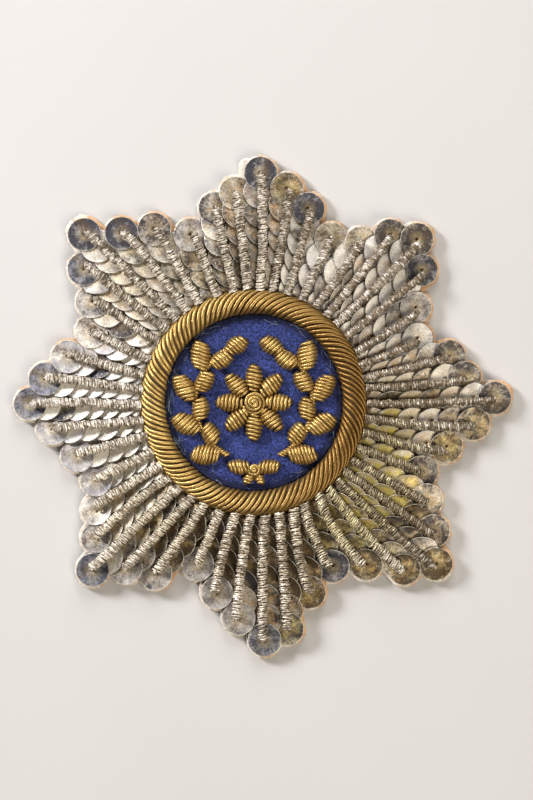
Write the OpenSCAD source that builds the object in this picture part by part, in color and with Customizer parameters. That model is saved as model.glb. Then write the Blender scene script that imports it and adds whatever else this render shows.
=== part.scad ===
// Embroidered eight-pointed breast star, lying on its back and face up.
// Millimetres. The origin is on the back face, under the middle of the ring.
// +Z points out of the face, and +Y to the top point.

/* [Sequins] */
// Diameter of one sequin
sequin_d = 5.4; // [5:0.1:5.8]
// Thickness of one sequin
sequin_t = 0.14; // [0.12:0.01:0.16]
// Diameter of the thread hole in the last sequin of a row
sequin_hole_d = 0.8; // [0.6:0.1:1]
// Rise of a sequin toward the middle of the badge, for each millimetre
lap_slope = 0.03; // [0.02:0.005:0.03]
// Rise of a sequin toward its counter-clockwise edge, for each millimetre
roll_slope = 0.22; // [0.2:0.01:0.26]

/* [Purl ridges] */
// Thickness of the silver purl that runs down the middle of a row
purl_d = 1.5; // [1.2:0.1:1.6]
// Thickness of the purl where one stitch meets the next
purl_waist_d = 1.1; // [0.8:0.1:1.1]
// How far the purl stops short of the middle of the last sequin
purl_setback = 0.6; // [0.4:0.1:1]

/* [Ring] */
// Radius of the middle line of the gold ring
ring_r = 16.1; // [15.9:0.1:16.3]
// Width of the ring
ring_w = 4; // [3.6:0.1:4.2]

/* [Field] */
// Thickness of the blue felt disc
felt_t = 1.3; // [1:0.1:1.6]

/* [Backing] */
// Thickness of the backing felt
backing_t = 1.2; // [1:0.1:2]
// How far the backing shows past the last sequins
backing_rim = 0.3; // [0.1:0.05:0.6]

/* [Ornament] */
// Height of the padded gold work above the blue felt
ornament_h = 1.8; // [1.2:0.1:2.2]
// Radius of the arc that the two branches follow
branch_r = 9.4; // [9.3:0.1:9.5]
// Width of a branch's stem
stem_w = 0.9; // [0.6:0.1:1]
// Height of a branch's stem above the blue felt
stem_h = 0.9; // [0.5:0.1:1]
// Length of a leaf on the outer side of a branch
outer_leaf_l = 5.7; // [5:0.1:5.8]
// Width of a leaf on the outer side of a branch
outer_leaf_w = 3.3; // [2.8:0.1:3.4]
// Length of a leaf on the inner side of a branch
inner_leaf_l = 4.6; // [4:0.1:4.7]
// Width of a leaf on the inner side of a branch
inner_leaf_w = 2.8; // [2.4:0.1:2.9]
// Length of a petal of the rosette
petal_l = 5.3; // [4.6:0.1:5.4]
// Width of a petal of the rosette
petal_w = 2.8; // [2.2:0.1:2.8]
// Diameter of the rosette's button
button_d = 4; // [3:0.1:4.4]

/* [Hidden] */
$fn = 48;

// Rows of sequins, counter-clockwise from the long row of the top point, six to a point.
// Columns: bearing of the last sequin, bearing of the row's foot at the ring, reach from the middle,
// number of sequins past the first, and how far the ridge lies to the clockwise side of the row's
// middle line at the foot, halfway and at the last sequin. Bearings are degrees counter-clockwise
// from the right.
TIP = 0;
FOOT = 1;
REACH = 2;
STEPS = 3;
SHIFT_FOOT = 4;
SHIFT_MIDDLE = 5;
SHIFT_TIP = 6;
ROWS = [
    [ 88.3,  88.3, 39.4, 6, 0.5, 0.6, 0.0], [ 94.9,  95.0, 36.3, 5, 0.5, 0.4, 0.1],
    [101.3, 101.8, 34.4, 5, 0.5, 0.3, 0.0], [110.6, 110.5, 31.4, 3, 0.5, 0.5, 0.5],
    [119.9, 119.2, 34.7, 4, 0.1, 0.2, 0.3], [128.0, 127.1, 37.1, 5, 0.3, 0.6, 0.3],

    [135.1, 134.4, 40.9, 7, 0.4, 0.5, 0.3], [141.9, 141.6, 37.3, 6, 0.4, 0.5, 0.7],
    [148.1, 149.2, 33.2, 4, 0.6, 0.5, 0.6], [156.5, 157.8, 31.1, 4, 0.0, 0.0, 0.0],
    [166.3, 165.6, 33.4, 5, 0.0, 0.1, 0.5], [173.5, 173.4, 36.3, 6, 0.0, 0.2, 0.2],

    [180.4, 181.2, 38.5, 7, 0.0, 0.3, 0.0], [187.3, 188.9, 35.2, 5, 0.0, 0.0, 0.0],
    [196.8, 196.9, 32.2, 4, 0.0, 0.1, 0.4], [206.1, 205.7, 30.8, 4, 0.0, 0.0, 0.1],
    [214.6, 214.3, 33.2, 4, 0.2, 0.6, 0.8], [220.7, 221.9, 35.9, 6, 0.3, 0.6, 0.3],

    [226.1, 229.2, 39.9, 6, 0.3, 0.3, 0.4], [232.3, 236.5, 36.1, 5, 0.0, 0.0, 0.2],
    [240.1, 244.2, 34.3, 4, 0.2, 0.1, 0.2], [250.8, 252.7, 30.1, 3, 0.1, 0.0, 0.0],
    [259.1, 260.6, 33.7, 5, 0.1, 0.5, 0.5], [266.0, 268.0, 37.3, 6, 0.0, 0.5, 0.4],

    [272.6, 275.2, 40.7, 6, 0.0, 0.3, 0.3], [278.4, 282.7, 39.3, 6, 0.0, 0.0, 0.0],
    [286.3, 290.0, 34.3, 4, 0.0, 0.5, 0.1], [295.6, 297.0, 31.7, 3, 0.4, 0.9, 0.5],
    [304.8, 304.1, 34.2, 4, 0.0, 0.9, 0.5], [312.1, 310.9, 38.6, 6, 0.1, 0.7, 0.4],

    [318.5, 317.6, 41.6, 7, 0.3, 0.6, 0.7], [324.4, 324.4, 38.0, 5, 0.5, 0.6, 0.5],
    [330.4, 331.3, 34.4, 4, 0.6, 0.5, 0.3], [337.8, 338.6, 31.7, 3, 0.7, 0.4, 0.2],
    [347.0, 346.1, 34.3, 4, 0.4, 1.0, 0.8], [354.5, 353.7, 38.0, 5, 0.6, 0.9, 0.5],

    [361.0, 361.2, 41.2, 6, 0.6, 0.6, 0.4], [366.7, 368.0, 36.6, 5, 0.3, 0.6, 0.3],
    [373.2, 374.7, 34.8, 5, 0.7, 0.5, 0.1], [381.5, 381.6, 30.8, 3, 0.8, 0.8, 0.6],
    [390.6, 389.0, 32.7, 4, 0.9, 1.1, 1.1], [398.3, 396.6, 36.9, 5, 0.4, 0.6, 0.8],

    [405.1, 403.6, 39.6, 6, 0.0, 0.6, 0.8], [410.7, 410.5, 37.2, 5, 0.2, 0.2, 0.2],
    [416.1, 417.5, 33.4, 4, 0.2, 0.3, 0.0], [424.9, 425.2, 31.7, 3, 0.1, 0.1, 0.2],
    [434.3, 432.9, 34.9, 5, 0.0, 0.3, 0.5], [441.1, 440.6, 37.3, 6, 0.1, 0.4, 0.4],
];
ROWS_IN_POINT = 6;

// Gap left between pieces that lie on each other
lay_gap = 0.05;
// Gap left between pieces that lie side by side
side_gap = 0.2;

sequin_r = sequin_d / 2;
purl_r = purl_d / 2;

// Heights, from the back face up
sequin_edge_rise = sequin_r * norm([lap_slope, roll_slope]) + sequin_t / 2;
sequin_z = backing_t + lay_gap + sequin_edge_rise;
sequins_top = sequin_z + sequin_edge_rise;
ring_z = sequins_top + lay_gap;
felt_z = backing_t + lay_gap;
ornament_z = felt_z + felt_t + lay_gap;

// A ridge lies on its own row at the tip, and over the edges of the next row clockwise near the ring:
// it climbs where that row's middle line comes closer than the first distance, and is up at the second
climb_start_margin = 0.4;
climb_end_margin = 0.3;
ridge_low_z = sequin_z + lap_slope * sequin_r + sequin_t / 2 + purl_r * norm([1, roll_slope]) + lay_gap;
ridge_high_z = sequins_top + lay_gap + purl_r;
ridge_climb_start = sequin_r + purl_r + climb_start_margin;
ridge_climb_end = sequin_r + climb_end_margin;
ridge_foot_r = ring_r + ring_w / 2 + side_gap;

// How far a purl stitch runs into the last one, and its rounded shoulders
stitch_lap = 0.25;
stitch_round = 0.5;
shoulder_share = 0.4;
shoulder_r = purl_waist_d / 6 + purl_d / 3;

// Bearings of a branch's first and last leaves, and the leaves' angles from the branch's direction
branch_start = -59;
branch_end = 59;
LEAF_PAIRS = 4;
leaf_step = (branch_end - branch_start) / LEAF_PAIRS;
stem_overrun = leaf_step / 6;
outer_leaf_lean = 36;
inner_leaf_lean = 28;
inner_leaf_shift = 0.3;
end_leaf_lean = 4;

// Rosette: where its petals start, and how far its button stands above them
PETALS = 8;
petal_start_r = 1.2;
button_rise = 0.3;

// How much of its height a padded piece loses from its middle to its ends
crown_fall = 0.6;

// Bow: its place, and the sizes and angles of its knot, loops and tails
bow_y = -10.6;
bow_knot_d = 2.4;
bow_loop_l = 4.6;
bow_loop_w = 2.4;
bow_loop_lift = 8;
bow_tail_l = 3.2;
bow_tail_w = 1.5;
bow_tail_h = 1.2;
bow_tail_spread = 30;

silver_sequin = [0.66, 0.65, 0.6];
silver_purl = [0.82, 0.8, 0.73];
gold = [0.8, 0.61, 0.26];
felt_blue = [0.13, 0.17, 0.5];
backing_cream = [0.82, 0.74, 0.6];

function polar(r, bearing) = [r * cos(bearing), r * sin(bearing)];
function limit01(x) = max(0, min(1, x));

function tip_centre(row) = polar(row[REACH] - sequin_r, row[TIP]);
function foot_centre(row) = polar(ring_r + sequin_r, row[FOOT]);
function row_vector(row) = tip_centre(row) - foot_centre(row);
function row_length(row) = norm(row_vector(row));
function row_pitch(row) = row_length(row) / row[STEPS];

// How far a point lies from a row's middle line, on its counter-clockwise side
function distance_from_row(row, point) = cross(row_vector(row), point - foot_centre(row)) / row_length(row);
function row_point(row, x, side) =
    let (out = row_vector(row) / row_length(row))
    foot_centre(row) + x * out + side * [-out[1], out[0]];

// Where a ridge's middle line lies beside its row's: a smooth curve through the three charted shifts
function ridge_side(row, x) =
    let (share = x / row_length(row))
    -(row[SHIFT_FOOT] * (1 - share) * (1 - 2 * share)
        + row[SHIFT_MIDDLE] * 4 * share * (1 - share)
        + row[SHIFT_TIP] * share * (2 * share - 1));

// Height of a ridge's middle line, which rises where the next row clockwise comes close
function ridge_z(row, clockwise_row, x) =
    let (distance = distance_from_row(clockwise_row, row_point(row, x, ridge_side(row, x))))
    ridge_low_z + (ridge_high_z - ridge_low_z)
        * limit01((ridge_climb_start - distance) / (ridge_climb_start - ridge_climb_end));

// A place on a ridge's middle line, in its row's own directions
function ridge_point(row, clockwise_row, x) = [x, ridge_side(row, x), ridge_z(row, clockwise_row, x)];

// Places along a row where one purl stitch meets the next, from the ring out
function stitch_ends(row) = concat(
    [ridge_foot_r - ring_r - sequin_r],
    [for (i = [1 : row[STEPS] - 1]) i * row_pitch(row)],
    [row_length(row) - purl_setback]);

// Places children on a row: origin at its innermost sequin, +X out along it, +Y counter-clockwise
module on_row(row) {
    translate(foot_centre(row))
        rotate(atan2(row_vector(row)[1], row_vector(row)[0]))
            children();
}

module sequin() {
    rotate([atan(roll_slope), atan(lap_slope), 0])
        cylinder(h = sequin_t, d = sequin_d, center = true);
}

// A row of sequins: each outer one laps over the next one in
module sequin_row(row) {
    on_row(row)
        translate([0, 0, sequin_z])
            difference() {
                for (i = [0 : row[STEPS]])
                    translate([i * row_pitch(row), 0, 0])
                        sequin();
                translate([row_length(row), 0, 0])
                    cylinder(h = sequin_d, d = sequin_hole_d, center = true);
            }
}

// One purl stitch along +Z: a barrel with rounded shoulders
module stitch(length) {
    waist_r = purl_waist_d / 2;
    shoulder_z = stitch_round * shoulder_share;
    rotate_extrude()
        polygon([[0, 0], [waist_r, 0], [shoulder_r, shoulder_z], [purl_r, stitch_round],
                 [purl_r, length - stitch_round], [shoulder_r, length - shoulder_z],
                 [waist_r, length], [0, length]]);
}

// The silver purl down the middle of a row, sewn down once for each sequin
module purl_ridge(row, clockwise_row) {
    ends = stitch_ends(row);
    on_row(row)
        for (i = [0 : len(ends) - 2]) {
            start = ridge_point(row, clockwise_row, ends[i] - (i > 0 ? stitch_lap : 0));
            run = ridge_point(row, clockwise_row, ends[i + 1]) - start;
            translate(start)
                rotate([0, acos(run[2] / norm(run)), atan2(run[1], run[0])])
                    stitch(norm(run));
        }
}

module point_sequins(point) {
    color(silver_sequin)
        for (i = [0 : ROWS_IN_POINT - 1])
            sequin_row(ROWS[point * ROWS_IN_POINT + i]);
}

module point_purl(point) {
    color(silver_purl)
        for (i = [0 : ROWS_IN_POINT - 1]) {
            index = point * ROWS_IN_POINT + i;
            purl_ridge(ROWS[index], ROWS[(index + len(ROWS) - 1) % len(ROWS)]);
        }
}

// Felt that everything is sewn to, cut round the last sequins
module backing() {
    color(backing_cream)
        linear_extrude(backing_t) {
            circle(r = ring_r + ring_w);
            for (row = ROWS)
                on_row(row) {
                    translate([0, -sequin_r])
                        square([row_length(row), sequin_d]);
                    translate([row_length(row), 0])
                        circle(r = sequin_r + backing_rim);
                }
        }
}

module felt() {
    color(felt_blue)
        translate([0, 0, felt_z])
            cylinder(h = felt_t, r = ring_r - ring_w / 2 - lay_gap);
}

// Padded ring: a half-round that covers the feet of the rows, on a narrower padding
module ring() {
    color(gold)
        union() {
            translate([0, 0, ring_z])
                intersection() {
                    rotate_extrude()
                        translate([ring_r, 0])
                            circle(d = ring_w);
                    cylinder(h = ring_w, r = ring_r + ring_w);
                }
            translate([0, 0, felt_z])
                difference() {
                    cylinder(h = ring_z - felt_z + lay_gap, r = ring_r - side_gap);
                    translate([0, 0, -lay_gap])
                        cylinder(h = ring_z, r = ring_r - ring_w / 2);
                }
        }
}

// Radius of a ball whose top falls by a share of a height at half of a length
function crown_r(length, height) =
    (length * length / 4 + pow(crown_fall * height, 2)) / (2 * crown_fall * height);

// A padded lens-shaped piece along +X, pointed at both ends and crowned
module pad(length, width, height) {
    side_r = (length * length + width * width) / (4 * width);
    intersection() {
        linear_extrude(2 * height)
            intersection() {
                translate([length / 2, side_r - width / 2])
                    circle(r = side_r);
                translate([length / 2, width / 2 - side_r])
                    circle(r = side_r);
            }
        translate([length / 2, 0, height - crown_r(length, height)])
            sphere(r = crown_r(length, height));
    }
}

// A round padded piece with a domed top
module button(diameter, height) {
    intersection() {
        cylinder(h = 2 * height, d = diameter);
        translate([0, 0, height - crown_r(diameter, height)])
            sphere(r = crown_r(diameter, height));
    }
}

module leaf(bearing, lean, length, width) {
    translate(polar(branch_r, bearing))
        rotate(bearing + 90 + lean)
            pad(length, width, ornament_h);
}

// The branch on the right-hand side: a stem with pairs of leaves and one at its end
module branch() {
    translate([0, 0, ornament_z]) {
        rotate(branch_start - stem_overrun)
            rotate_extrude(angle = branch_end - branch_start + 2 * stem_overrun)
                translate([branch_r - stem_w / 2, 0])
                    square([stem_w, stem_h]);
        for (i = [0 : LEAF_PAIRS - 1]) {
            leaf(branch_start + i * leaf_step,
                 -outer_leaf_lean, outer_leaf_l, outer_leaf_w);
            leaf(branch_start + (i + inner_leaf_shift) * leaf_step,
                 inner_leaf_lean, inner_leaf_l, inner_leaf_w);
        }
        leaf(branch_end, end_leaf_lean, inner_leaf_l, inner_leaf_w);
    }
}

module wreath_right() {
    color(gold)
        branch();
}

module wreath_left() {
    color(gold)
        mirror([1, 0, 0])
            branch();
}

module rosette() {
    color(gold)
        translate([0, 0, ornament_z]) {
            for (i = [0 : PETALS - 1])
                rotate(90 + i * 360 / PETALS)
                    translate([petal_start_r, 0, 0])
                        pad(petal_l, petal_w, ornament_h);
            button(button_d, ornament_h + button_rise);
        }
}

// The bow that ties the branches: a knot, two loops and two tails
module bow() {
    color(gold)
        translate([0, bow_y, ornament_z]) {
            button(bow_knot_d, ornament_h);
            for (side = [0, 1])
                mirror([side, 0, 0]) {
                    rotate(bow_loop_lift)
                        pad(bow_loop_l, bow_loop_w, ornament_h);
                    rotate(bow_tail_spread - 90)
                        pad(bow_tail_l, bow_tail_w, bow_tail_h);
                }
        }
}

backing();
point_sequins(0);  // sequins_n
point_sequins(1);  // sequins_nw
point_sequins(2);  // sequins_w
point_sequins(3);  // sequins_sw
point_sequins(4);  // sequins_s
point_sequins(5);  // sequins_se
point_sequins(6);  // sequins_e
point_sequins(7);  // sequins_ne
point_purl(0);  // purl_n
point_purl(1);  // purl_nw
point_purl(2);  // purl_w
point_purl(3);  // purl_sw
point_purl(4);  // purl_s
point_purl(5);  // purl_se
point_purl(6);  // purl_e
point_purl(7);  // purl_ne
felt();
ring();
wreath_left();
wreath_right();
rosette();
bow();
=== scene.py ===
"""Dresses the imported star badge: foil sequins, coiled silver purl, gold purl work, felts, stage and camera.

Shapes are worked out in millimetres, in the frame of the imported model, and made into meshes in metres.
"""
import math

import bpy
import numpy as np
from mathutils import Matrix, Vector, noise


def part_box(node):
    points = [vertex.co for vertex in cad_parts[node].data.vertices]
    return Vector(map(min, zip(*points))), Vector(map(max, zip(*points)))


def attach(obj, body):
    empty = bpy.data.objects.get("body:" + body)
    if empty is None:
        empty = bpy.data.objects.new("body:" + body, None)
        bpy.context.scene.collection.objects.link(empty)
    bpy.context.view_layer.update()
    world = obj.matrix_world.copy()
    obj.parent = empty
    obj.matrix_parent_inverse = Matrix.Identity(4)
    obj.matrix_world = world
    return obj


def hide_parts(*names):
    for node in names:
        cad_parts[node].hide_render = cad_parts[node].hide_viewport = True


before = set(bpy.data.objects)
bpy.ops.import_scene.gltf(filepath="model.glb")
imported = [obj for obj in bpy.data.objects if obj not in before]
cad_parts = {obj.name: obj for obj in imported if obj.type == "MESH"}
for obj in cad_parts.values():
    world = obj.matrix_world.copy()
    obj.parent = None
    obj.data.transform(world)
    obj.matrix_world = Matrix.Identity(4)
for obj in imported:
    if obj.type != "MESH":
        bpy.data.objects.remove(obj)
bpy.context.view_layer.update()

MM = 0.001
PER_MM = 1000.0

# Rows of sequins, six to a point. Columns: bearing of the last sequin, bearing of the row's foot at the
# ring, reach from the middle, number of sequins past the first, and how far the ridge lies to the
# clockwise side of the row's middle line at the foot, halfway and at the last sequin.
# Bearings are degrees counter-clockwise from the right.
ROWS = [
    ( 88.3,  88.3, 39.4, 6, 0.5, 0.6, 0.0), ( 94.9,  95.0, 36.3, 5, 0.5, 0.4, 0.1),
    (101.3, 101.8, 34.4, 5, 0.5, 0.3, 0.0), (110.6, 110.5, 31.4, 3, 0.5, 0.5, 0.5),
    (119.9, 119.2, 34.7, 4, 0.1, 0.2, 0.3), (128.0, 127.1, 37.1, 5, 0.3, 0.6, 0.3),

    (135.1, 134.4, 40.9, 7, 0.4, 0.5, 0.3), (141.9, 141.6, 37.3, 6, 0.4, 0.5, 0.7),
    (148.1, 149.2, 33.2, 4, 0.6, 0.5, 0.6), (156.5, 157.8, 31.1, 4, 0.0, 0.0, 0.0),
    (166.3, 165.6, 33.4, 5, 0.0, 0.1, 0.5), (173.5, 173.4, 36.3, 6, 0.0, 0.2, 0.2),

    (180.4, 181.2, 38.5, 7, 0.0, 0.3, 0.0), (187.3, 188.9, 35.2, 5, 0.0, 0.0, 0.0),
    (196.8, 196.9, 32.2, 4, 0.0, 0.1, 0.4), (206.1, 205.7, 30.8, 4, 0.0, 0.0, 0.1),
    (214.6, 214.3, 33.2, 4, 0.2, 0.6, 0.8), (220.7, 221.9, 35.9, 6, 0.3, 0.6, 0.3),

    (226.1, 229.2, 39.9, 6, 0.3, 0.3, 0.4), (232.3, 236.5, 36.1, 5, 0.0, 0.0, 0.2),
    (240.1, 244.2, 34.3, 4, 0.2, 0.1, 0.2), (250.8, 252.7, 30.1, 3, 0.1, 0.0, 0.0),
    (259.1, 260.6, 33.7, 5, 0.1, 0.5, 0.5), (266.0, 268.0, 37.3, 6, 0.0, 0.5, 0.4),

    (272.6, 275.2, 40.7, 6, 0.0, 0.3, 0.3), (278.4, 282.7, 39.3, 6, 0.0, 0.0, 0.0),
    (286.3, 290.0, 34.3, 4, 0.0, 0.5, 0.1), (295.6, 297.0, 31.7, 3, 0.4, 0.9, 0.5),
    (304.8, 304.1, 34.2, 4, 0.0, 0.9, 0.5), (312.1, 310.9, 38.6, 6, 0.1, 0.7, 0.4),

    (318.5, 317.6, 41.6, 7, 0.3, 0.6, 0.7), (324.4, 324.4, 38.0, 5, 0.5, 0.6, 0.5),
    (330.4, 331.3, 34.4, 4, 0.6, 0.5, 0.3), (337.8, 338.6, 31.7, 3, 0.7, 0.4, 0.2),
    (347.0, 346.1, 34.3, 4, 0.4, 1.0, 0.8), (354.5, 353.7, 38.0, 5, 0.6, 0.9, 0.5),

    (361.0, 361.2, 41.2, 6, 0.6, 0.6, 0.4), (366.7, 368.0, 36.6, 5, 0.3, 0.6, 0.3),
    (373.2, 374.7, 34.8, 5, 0.7, 0.5, 0.1), (381.5, 381.6, 30.8, 3, 0.8, 0.8, 0.6),
    (390.6, 389.0, 32.7, 4, 0.9, 1.1, 1.1), (398.3, 396.6, 36.9, 5, 0.4, 0.6, 0.8),

    (405.1, 403.6, 39.6, 6, 0.0, 0.6, 0.8), (410.7, 410.5, 37.2, 5, 0.2, 0.2, 0.2),
    (416.1, 417.5, 33.4, 4, 0.2, 0.3, 0.0), (424.9, 425.2, 31.7, 3, 0.1, 0.1, 0.2),
    (434.3, 432.9, 34.9, 5, 0.0, 0.3, 0.5), (441.1, 440.6, 37.3, 6, 0.1, 0.4, 0.4),
]
POINTS = ("n", "nw", "w", "sw", "s", "se", "e", "ne")
ROWS_IN_POINT = 6

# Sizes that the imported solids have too
SEQUIN_R, PURL_SETBACK = 2.7, 0.6
RING_R, RING_HALF, BACKING_RIM = 16.1, 2.0, 0.3
BRANCH_R, BRANCH_START, BRANCH_END, LEAF_PAIRS = 9.4, -59.0, 59.0, 4
STEM_W, STEM_H = 0.9, 0.9
# Length, width and lean of a leaf. An inner leaf stands further along the branch, by a share of a step
OUTER_LEAF, INNER_LEAF = (5.7, 3.3, -36.0), (4.6, 2.8, 28.0)
INNER_LEAF_SHIFT, END_LEAF_LEAN = 0.3, 4.0
PETALS, PETAL_START_R, PETAL = 8, 1.2, (5.3, 2.8)
BUTTON_D, BUTTON_RISE = 4.0, 0.3
# Length, width and bearing of the bow's loops and tails
BOW_LOOP, BOW_TAIL, BOW_TAIL_H = (4.6, 2.4, 8.0), (3.2, 1.5, -60.0), 1.2
BOW_Y, BOW_KNOT_D = -10.6, 2.4
# How far a pad's top falls from its middle to its ends, as a share of its height
CROWN_FALL = 0.6
# Seeds of the random draws. A point of the star adds its number to the first two
SEQUIN_SEED, PURL_SEED, RING_SEED, BRANCH_SEED = 100, 200, 7, 31
ROSETTE_SEED, BOW_SEED, FELT_SEED, BACKING_SEED = 41, 51, 61, 71


def box_mm(node):
    """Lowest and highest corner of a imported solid, in millimetres."""
    low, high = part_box(node)
    return np.array(low) * PER_MM, np.array(high) * PER_MM


BACKING_TOP = box_mm("backing")[1][2]
FELT_TOP = box_mm("felt")[1][2]
FELT_BOTTOM = box_mm("felt")[0][2]
RING_Z = box_mm("ring")[1][2] - RING_HALF
ORNAMENT_Z = box_mm("bow")[0][2]
ORNAMENT_H = box_mm("bow")[1][2] - ORNAMENT_Z


def unit(vectors):
    """Vectors of length 1 in the same directions."""
    length = np.linalg.norm(vectors, axis=-1, keepdims=True)
    return vectors / np.maximum(length, 1e-9)


def limit01(x):
    return np.clip(x, 0.0, 1.0)


def smooth01(x):
    t = limit01(x)
    return t * t * (3 - 2 * t)


def blend(a, b, share):
    return a + (b - a) * share


def polar(r, bearing):
    """Point at a radius and a bearing in degrees."""
    angle = np.radians(bearing)
    return np.stack([r * np.cos(angle), r * np.sin(angle)], axis=-1)


def raised(plan, z):
    """Points of the plan at their heights."""
    z = np.broadcast_to(np.asarray(z, float)[..., None], plan.shape[:-1] + (1,))
    return np.concatenate([plan, z], axis=-1)


def placed(name, data):
    """A new object, linked into the scene."""
    made = bpy.data.objects.new(name, data)
    bpy.context.scene.collection.objects.link(made)
    return made


def numbered(points):
    """The numbers of a grid of points."""
    return np.arange(points.shape[0] * points.shape[1]).reshape(points.shape[:2])


class Shape:
    """Gathers points, faces and values of points, and makes one mesh piece of them."""

    def __init__(self):
        self.points, self.faces, self.values, self.count = [], [], {}, 0

    def add(self, points, faces, **values):
        """Adds points (n x 3), a list of arrays of faces, and a value or vector for each point."""
        points = np.asarray(points, float).reshape(-1, 3)
        self.points.append(points)
        self.faces += [np.asarray(f) + self.count for f in faces]
        for name, value in values.items():
            value = np.asarray(value, float)
            size = (len(points), 3) if value.shape[-1:] == (3,) else (len(points),)
            self.values.setdefault(name, []).append(np.broadcast_to(value, size))
        self.count += len(points)

    def piece(self, name, material, slot, replaces, smooth=True):
        """Makes the object, which rides on the badge and stands for the named solids."""
        mesh = bpy.data.meshes.new(name)
        mesh.vertices.add(self.count)
        mesh.vertices.foreach_set("co", (np.concatenate(self.points) * MM).ravel())
        corners = np.concatenate([f.ravel() for f in self.faces])
        sizes = np.concatenate([np.full(len(f), f.shape[1]) for f in self.faces])
        mesh.loops.add(len(corners))
        mesh.loops.foreach_set("vertex_index", corners)
        mesh.polygons.add(len(sizes))
        mesh.polygons.foreach_set("loop_start", np.concatenate([[0], np.cumsum(sizes)[:-1]]))
        mesh.polygons.foreach_set("use_smooth", np.full(len(sizes), smooth))
        for key, parts in self.values.items():
            values = np.concatenate(parts)
            kind, field = ("FLOAT_VECTOR", "vector") if values.ndim == 2 else ("FLOAT", "value")
            mesh.attributes.new(key, kind, "POINT").data.foreach_set(field, values.ravel())
        mesh.update(calc_edges=True)
        mesh.validate()
        mesh.materials.append(material)
        made = placed(name, mesh)
        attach(made, "root")
        if replaces:
            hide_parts(*replaces)
        return made


def grid_faces(corner, closed_across=False, closed_along=False):
    """Faces of a grid of point numbers, facing the side that rows cross columns gives."""
    if closed_across:
        corner = np.concatenate([corner, corner[:, :1]], axis=1)
    if closed_along:
        corner = np.concatenate([corner, corner[:1]], axis=0)
    faces = np.stack([corner[:-1, :-1], corner[1:, :-1], corner[1:, 1:], corner[:-1, 1:]], axis=-1)
    return faces.reshape(-1, 4)


def add_body(shape, points, flipped=False, **values):
    """Adds a closed body of rings of points, with a cap on the first ring and one on the last."""
    corner = numbered(points)
    faces = [grid_faces(corner, closed_across=True), corner[:1], corner[-1:, ::-1]]
    shape.add(points, [f[:, ::-1] for f in faces] if flipped else faces, **values)


def tubes(shape, paths, outward, radii, sides, **values):
    """Adds closed tubes along many paths of equally many points. Values are for each tube or each ring."""
    count, rings = paths.shape[:2]
    along = unit(np.gradient(paths, axis=1))
    across = unit(np.cross(along, outward))
    up = np.cross(across, along)
    turn = (np.arange(sides) + 0.5) * 2 * math.pi / sides
    spokes = (np.cos(turn)[:, None] * across[:, :, None] + np.sin(turn)[:, None] * up[:, :, None])
    points = paths[:, :, None] + np.broadcast_to(radii, (count, rings))[:, :, None, None] * spokes
    corner = np.arange(count * rings * sides).reshape(count, rings, sides)
    after = np.roll(corner, -1, axis=2)
    walls = np.stack([corner[:, :-1], corner[:, 1:], after[:, 1:], after[:, :-1]], axis=-1).reshape(-1, 4)
    caps = np.concatenate([corner[:, 0], corner[:, -1, ::-1]])
    spread = {}
    for name, value in values.items():
        value = np.asarray(value, float)
        value = value[:, None] if value.ndim == 1 else value
        value = value[:, :, None] if value.ndim == 2 else value[:, :, None, :]
        tail = (3,) if value.ndim == 4 else ()
        spread[name] = np.broadcast_to(value, (count, rings, sides) + tail).reshape((-1,) + tail)
    shape.add(points, [walls, caps], **spread)


# The two points that round a tube's end off, in shares of its radius: how far out, and how wide there
END_REACH = np.array([0.55, 0.9])
END_WIDTH = np.array([0.83, 0.42])


def ends_repeated(values):
    """Values along paths, with two more at each end for the points that round_ended adds."""
    return np.concatenate([values[:, :1]] * 2 + [values] + [values[:, -1:]] * 2, axis=1)


def round_ended(paths, outward, radius):
    """Paths with two more points at each end, and the radii that round the tubes' ends off."""
    radius = np.broadcast_to(radius, (len(paths), 1))
    first, last = unit(paths[:, 0] - paths[:, 1]) * radius, unit(paths[:, -1] - paths[:, -2]) * radius
    head = paths[:, :1] + first[:, None] * END_REACH[::-1, None]
    tail = paths[:, -1:] + last[:, None] * END_REACH[:, None]
    longer = np.concatenate([head, paths, tail], axis=1)
    radii = radius * np.concatenate([END_WIDTH[::-1], np.ones(paths.shape[1]), END_WIDTH])
    return longer, ends_repeated(outward), np.broadcast_to(radii, longer.shape[:2])


class Row:
    """One row of sequins: +x runs out along it from its innermost sequin, and +y is counter-clockwise."""

    def __init__(self, index):
        tip_bearing, foot_bearing, reach, self.steps, *self.shifts = ROWS[index % len(ROWS)]
        self.index = index % len(ROWS)
        self.foot = polar(RING_R + SEQUIN_R, foot_bearing)
        run = polar(reach - SEQUIN_R, tip_bearing) - self.foot
        self.length = float(np.linalg.norm(run))
        self.out = run / self.length
        self.ccw = np.array([-self.out[1], self.out[0]])
        self.pitch = self.length / self.steps

    def ridge_side(self, x):
        """Where the ridge lies beside the row's middle line at x."""
        share, (foot, middle, tip) = x / self.length, self.shifts
        return -(foot * (1 - share) * (1 - 2 * share) + 4 * middle * share * (1 - share)
                 + tip * share * (2 * share - 1))

    def place(self, local):
        """Points of the row's own frame in the badge's frame."""
        flat = self.foot + local[..., :1] * self.out + local[..., 1:2] * self.ccw
        return np.concatenate([flat, local[..., 2:]], axis=-1)

    def direction(self, local):
        """Directions of the row's own frame in the badge's frame."""
        return self.place(local) - np.append(self.foot, 0.0)

    def local(self, points):
        """Where points of the badge's plan lie in the row's own frame."""
        away = points - self.foot
        return np.stack([away @ self.out, away @ self.ccw], axis=-1)


ALL_ROWS = [Row(i) for i in range(len(ROWS))]


def rows_of(point):
    """The six rows of one point of the star."""
    return ALL_ROWS[point * ROWS_IN_POINT:(point + 1) * ROWS_IN_POINT]


# The next row clockwise starts to count as close at one distance, and does so fully at the other
CLOSE_START, CLOSE_END = 3.85, 3.0
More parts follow.
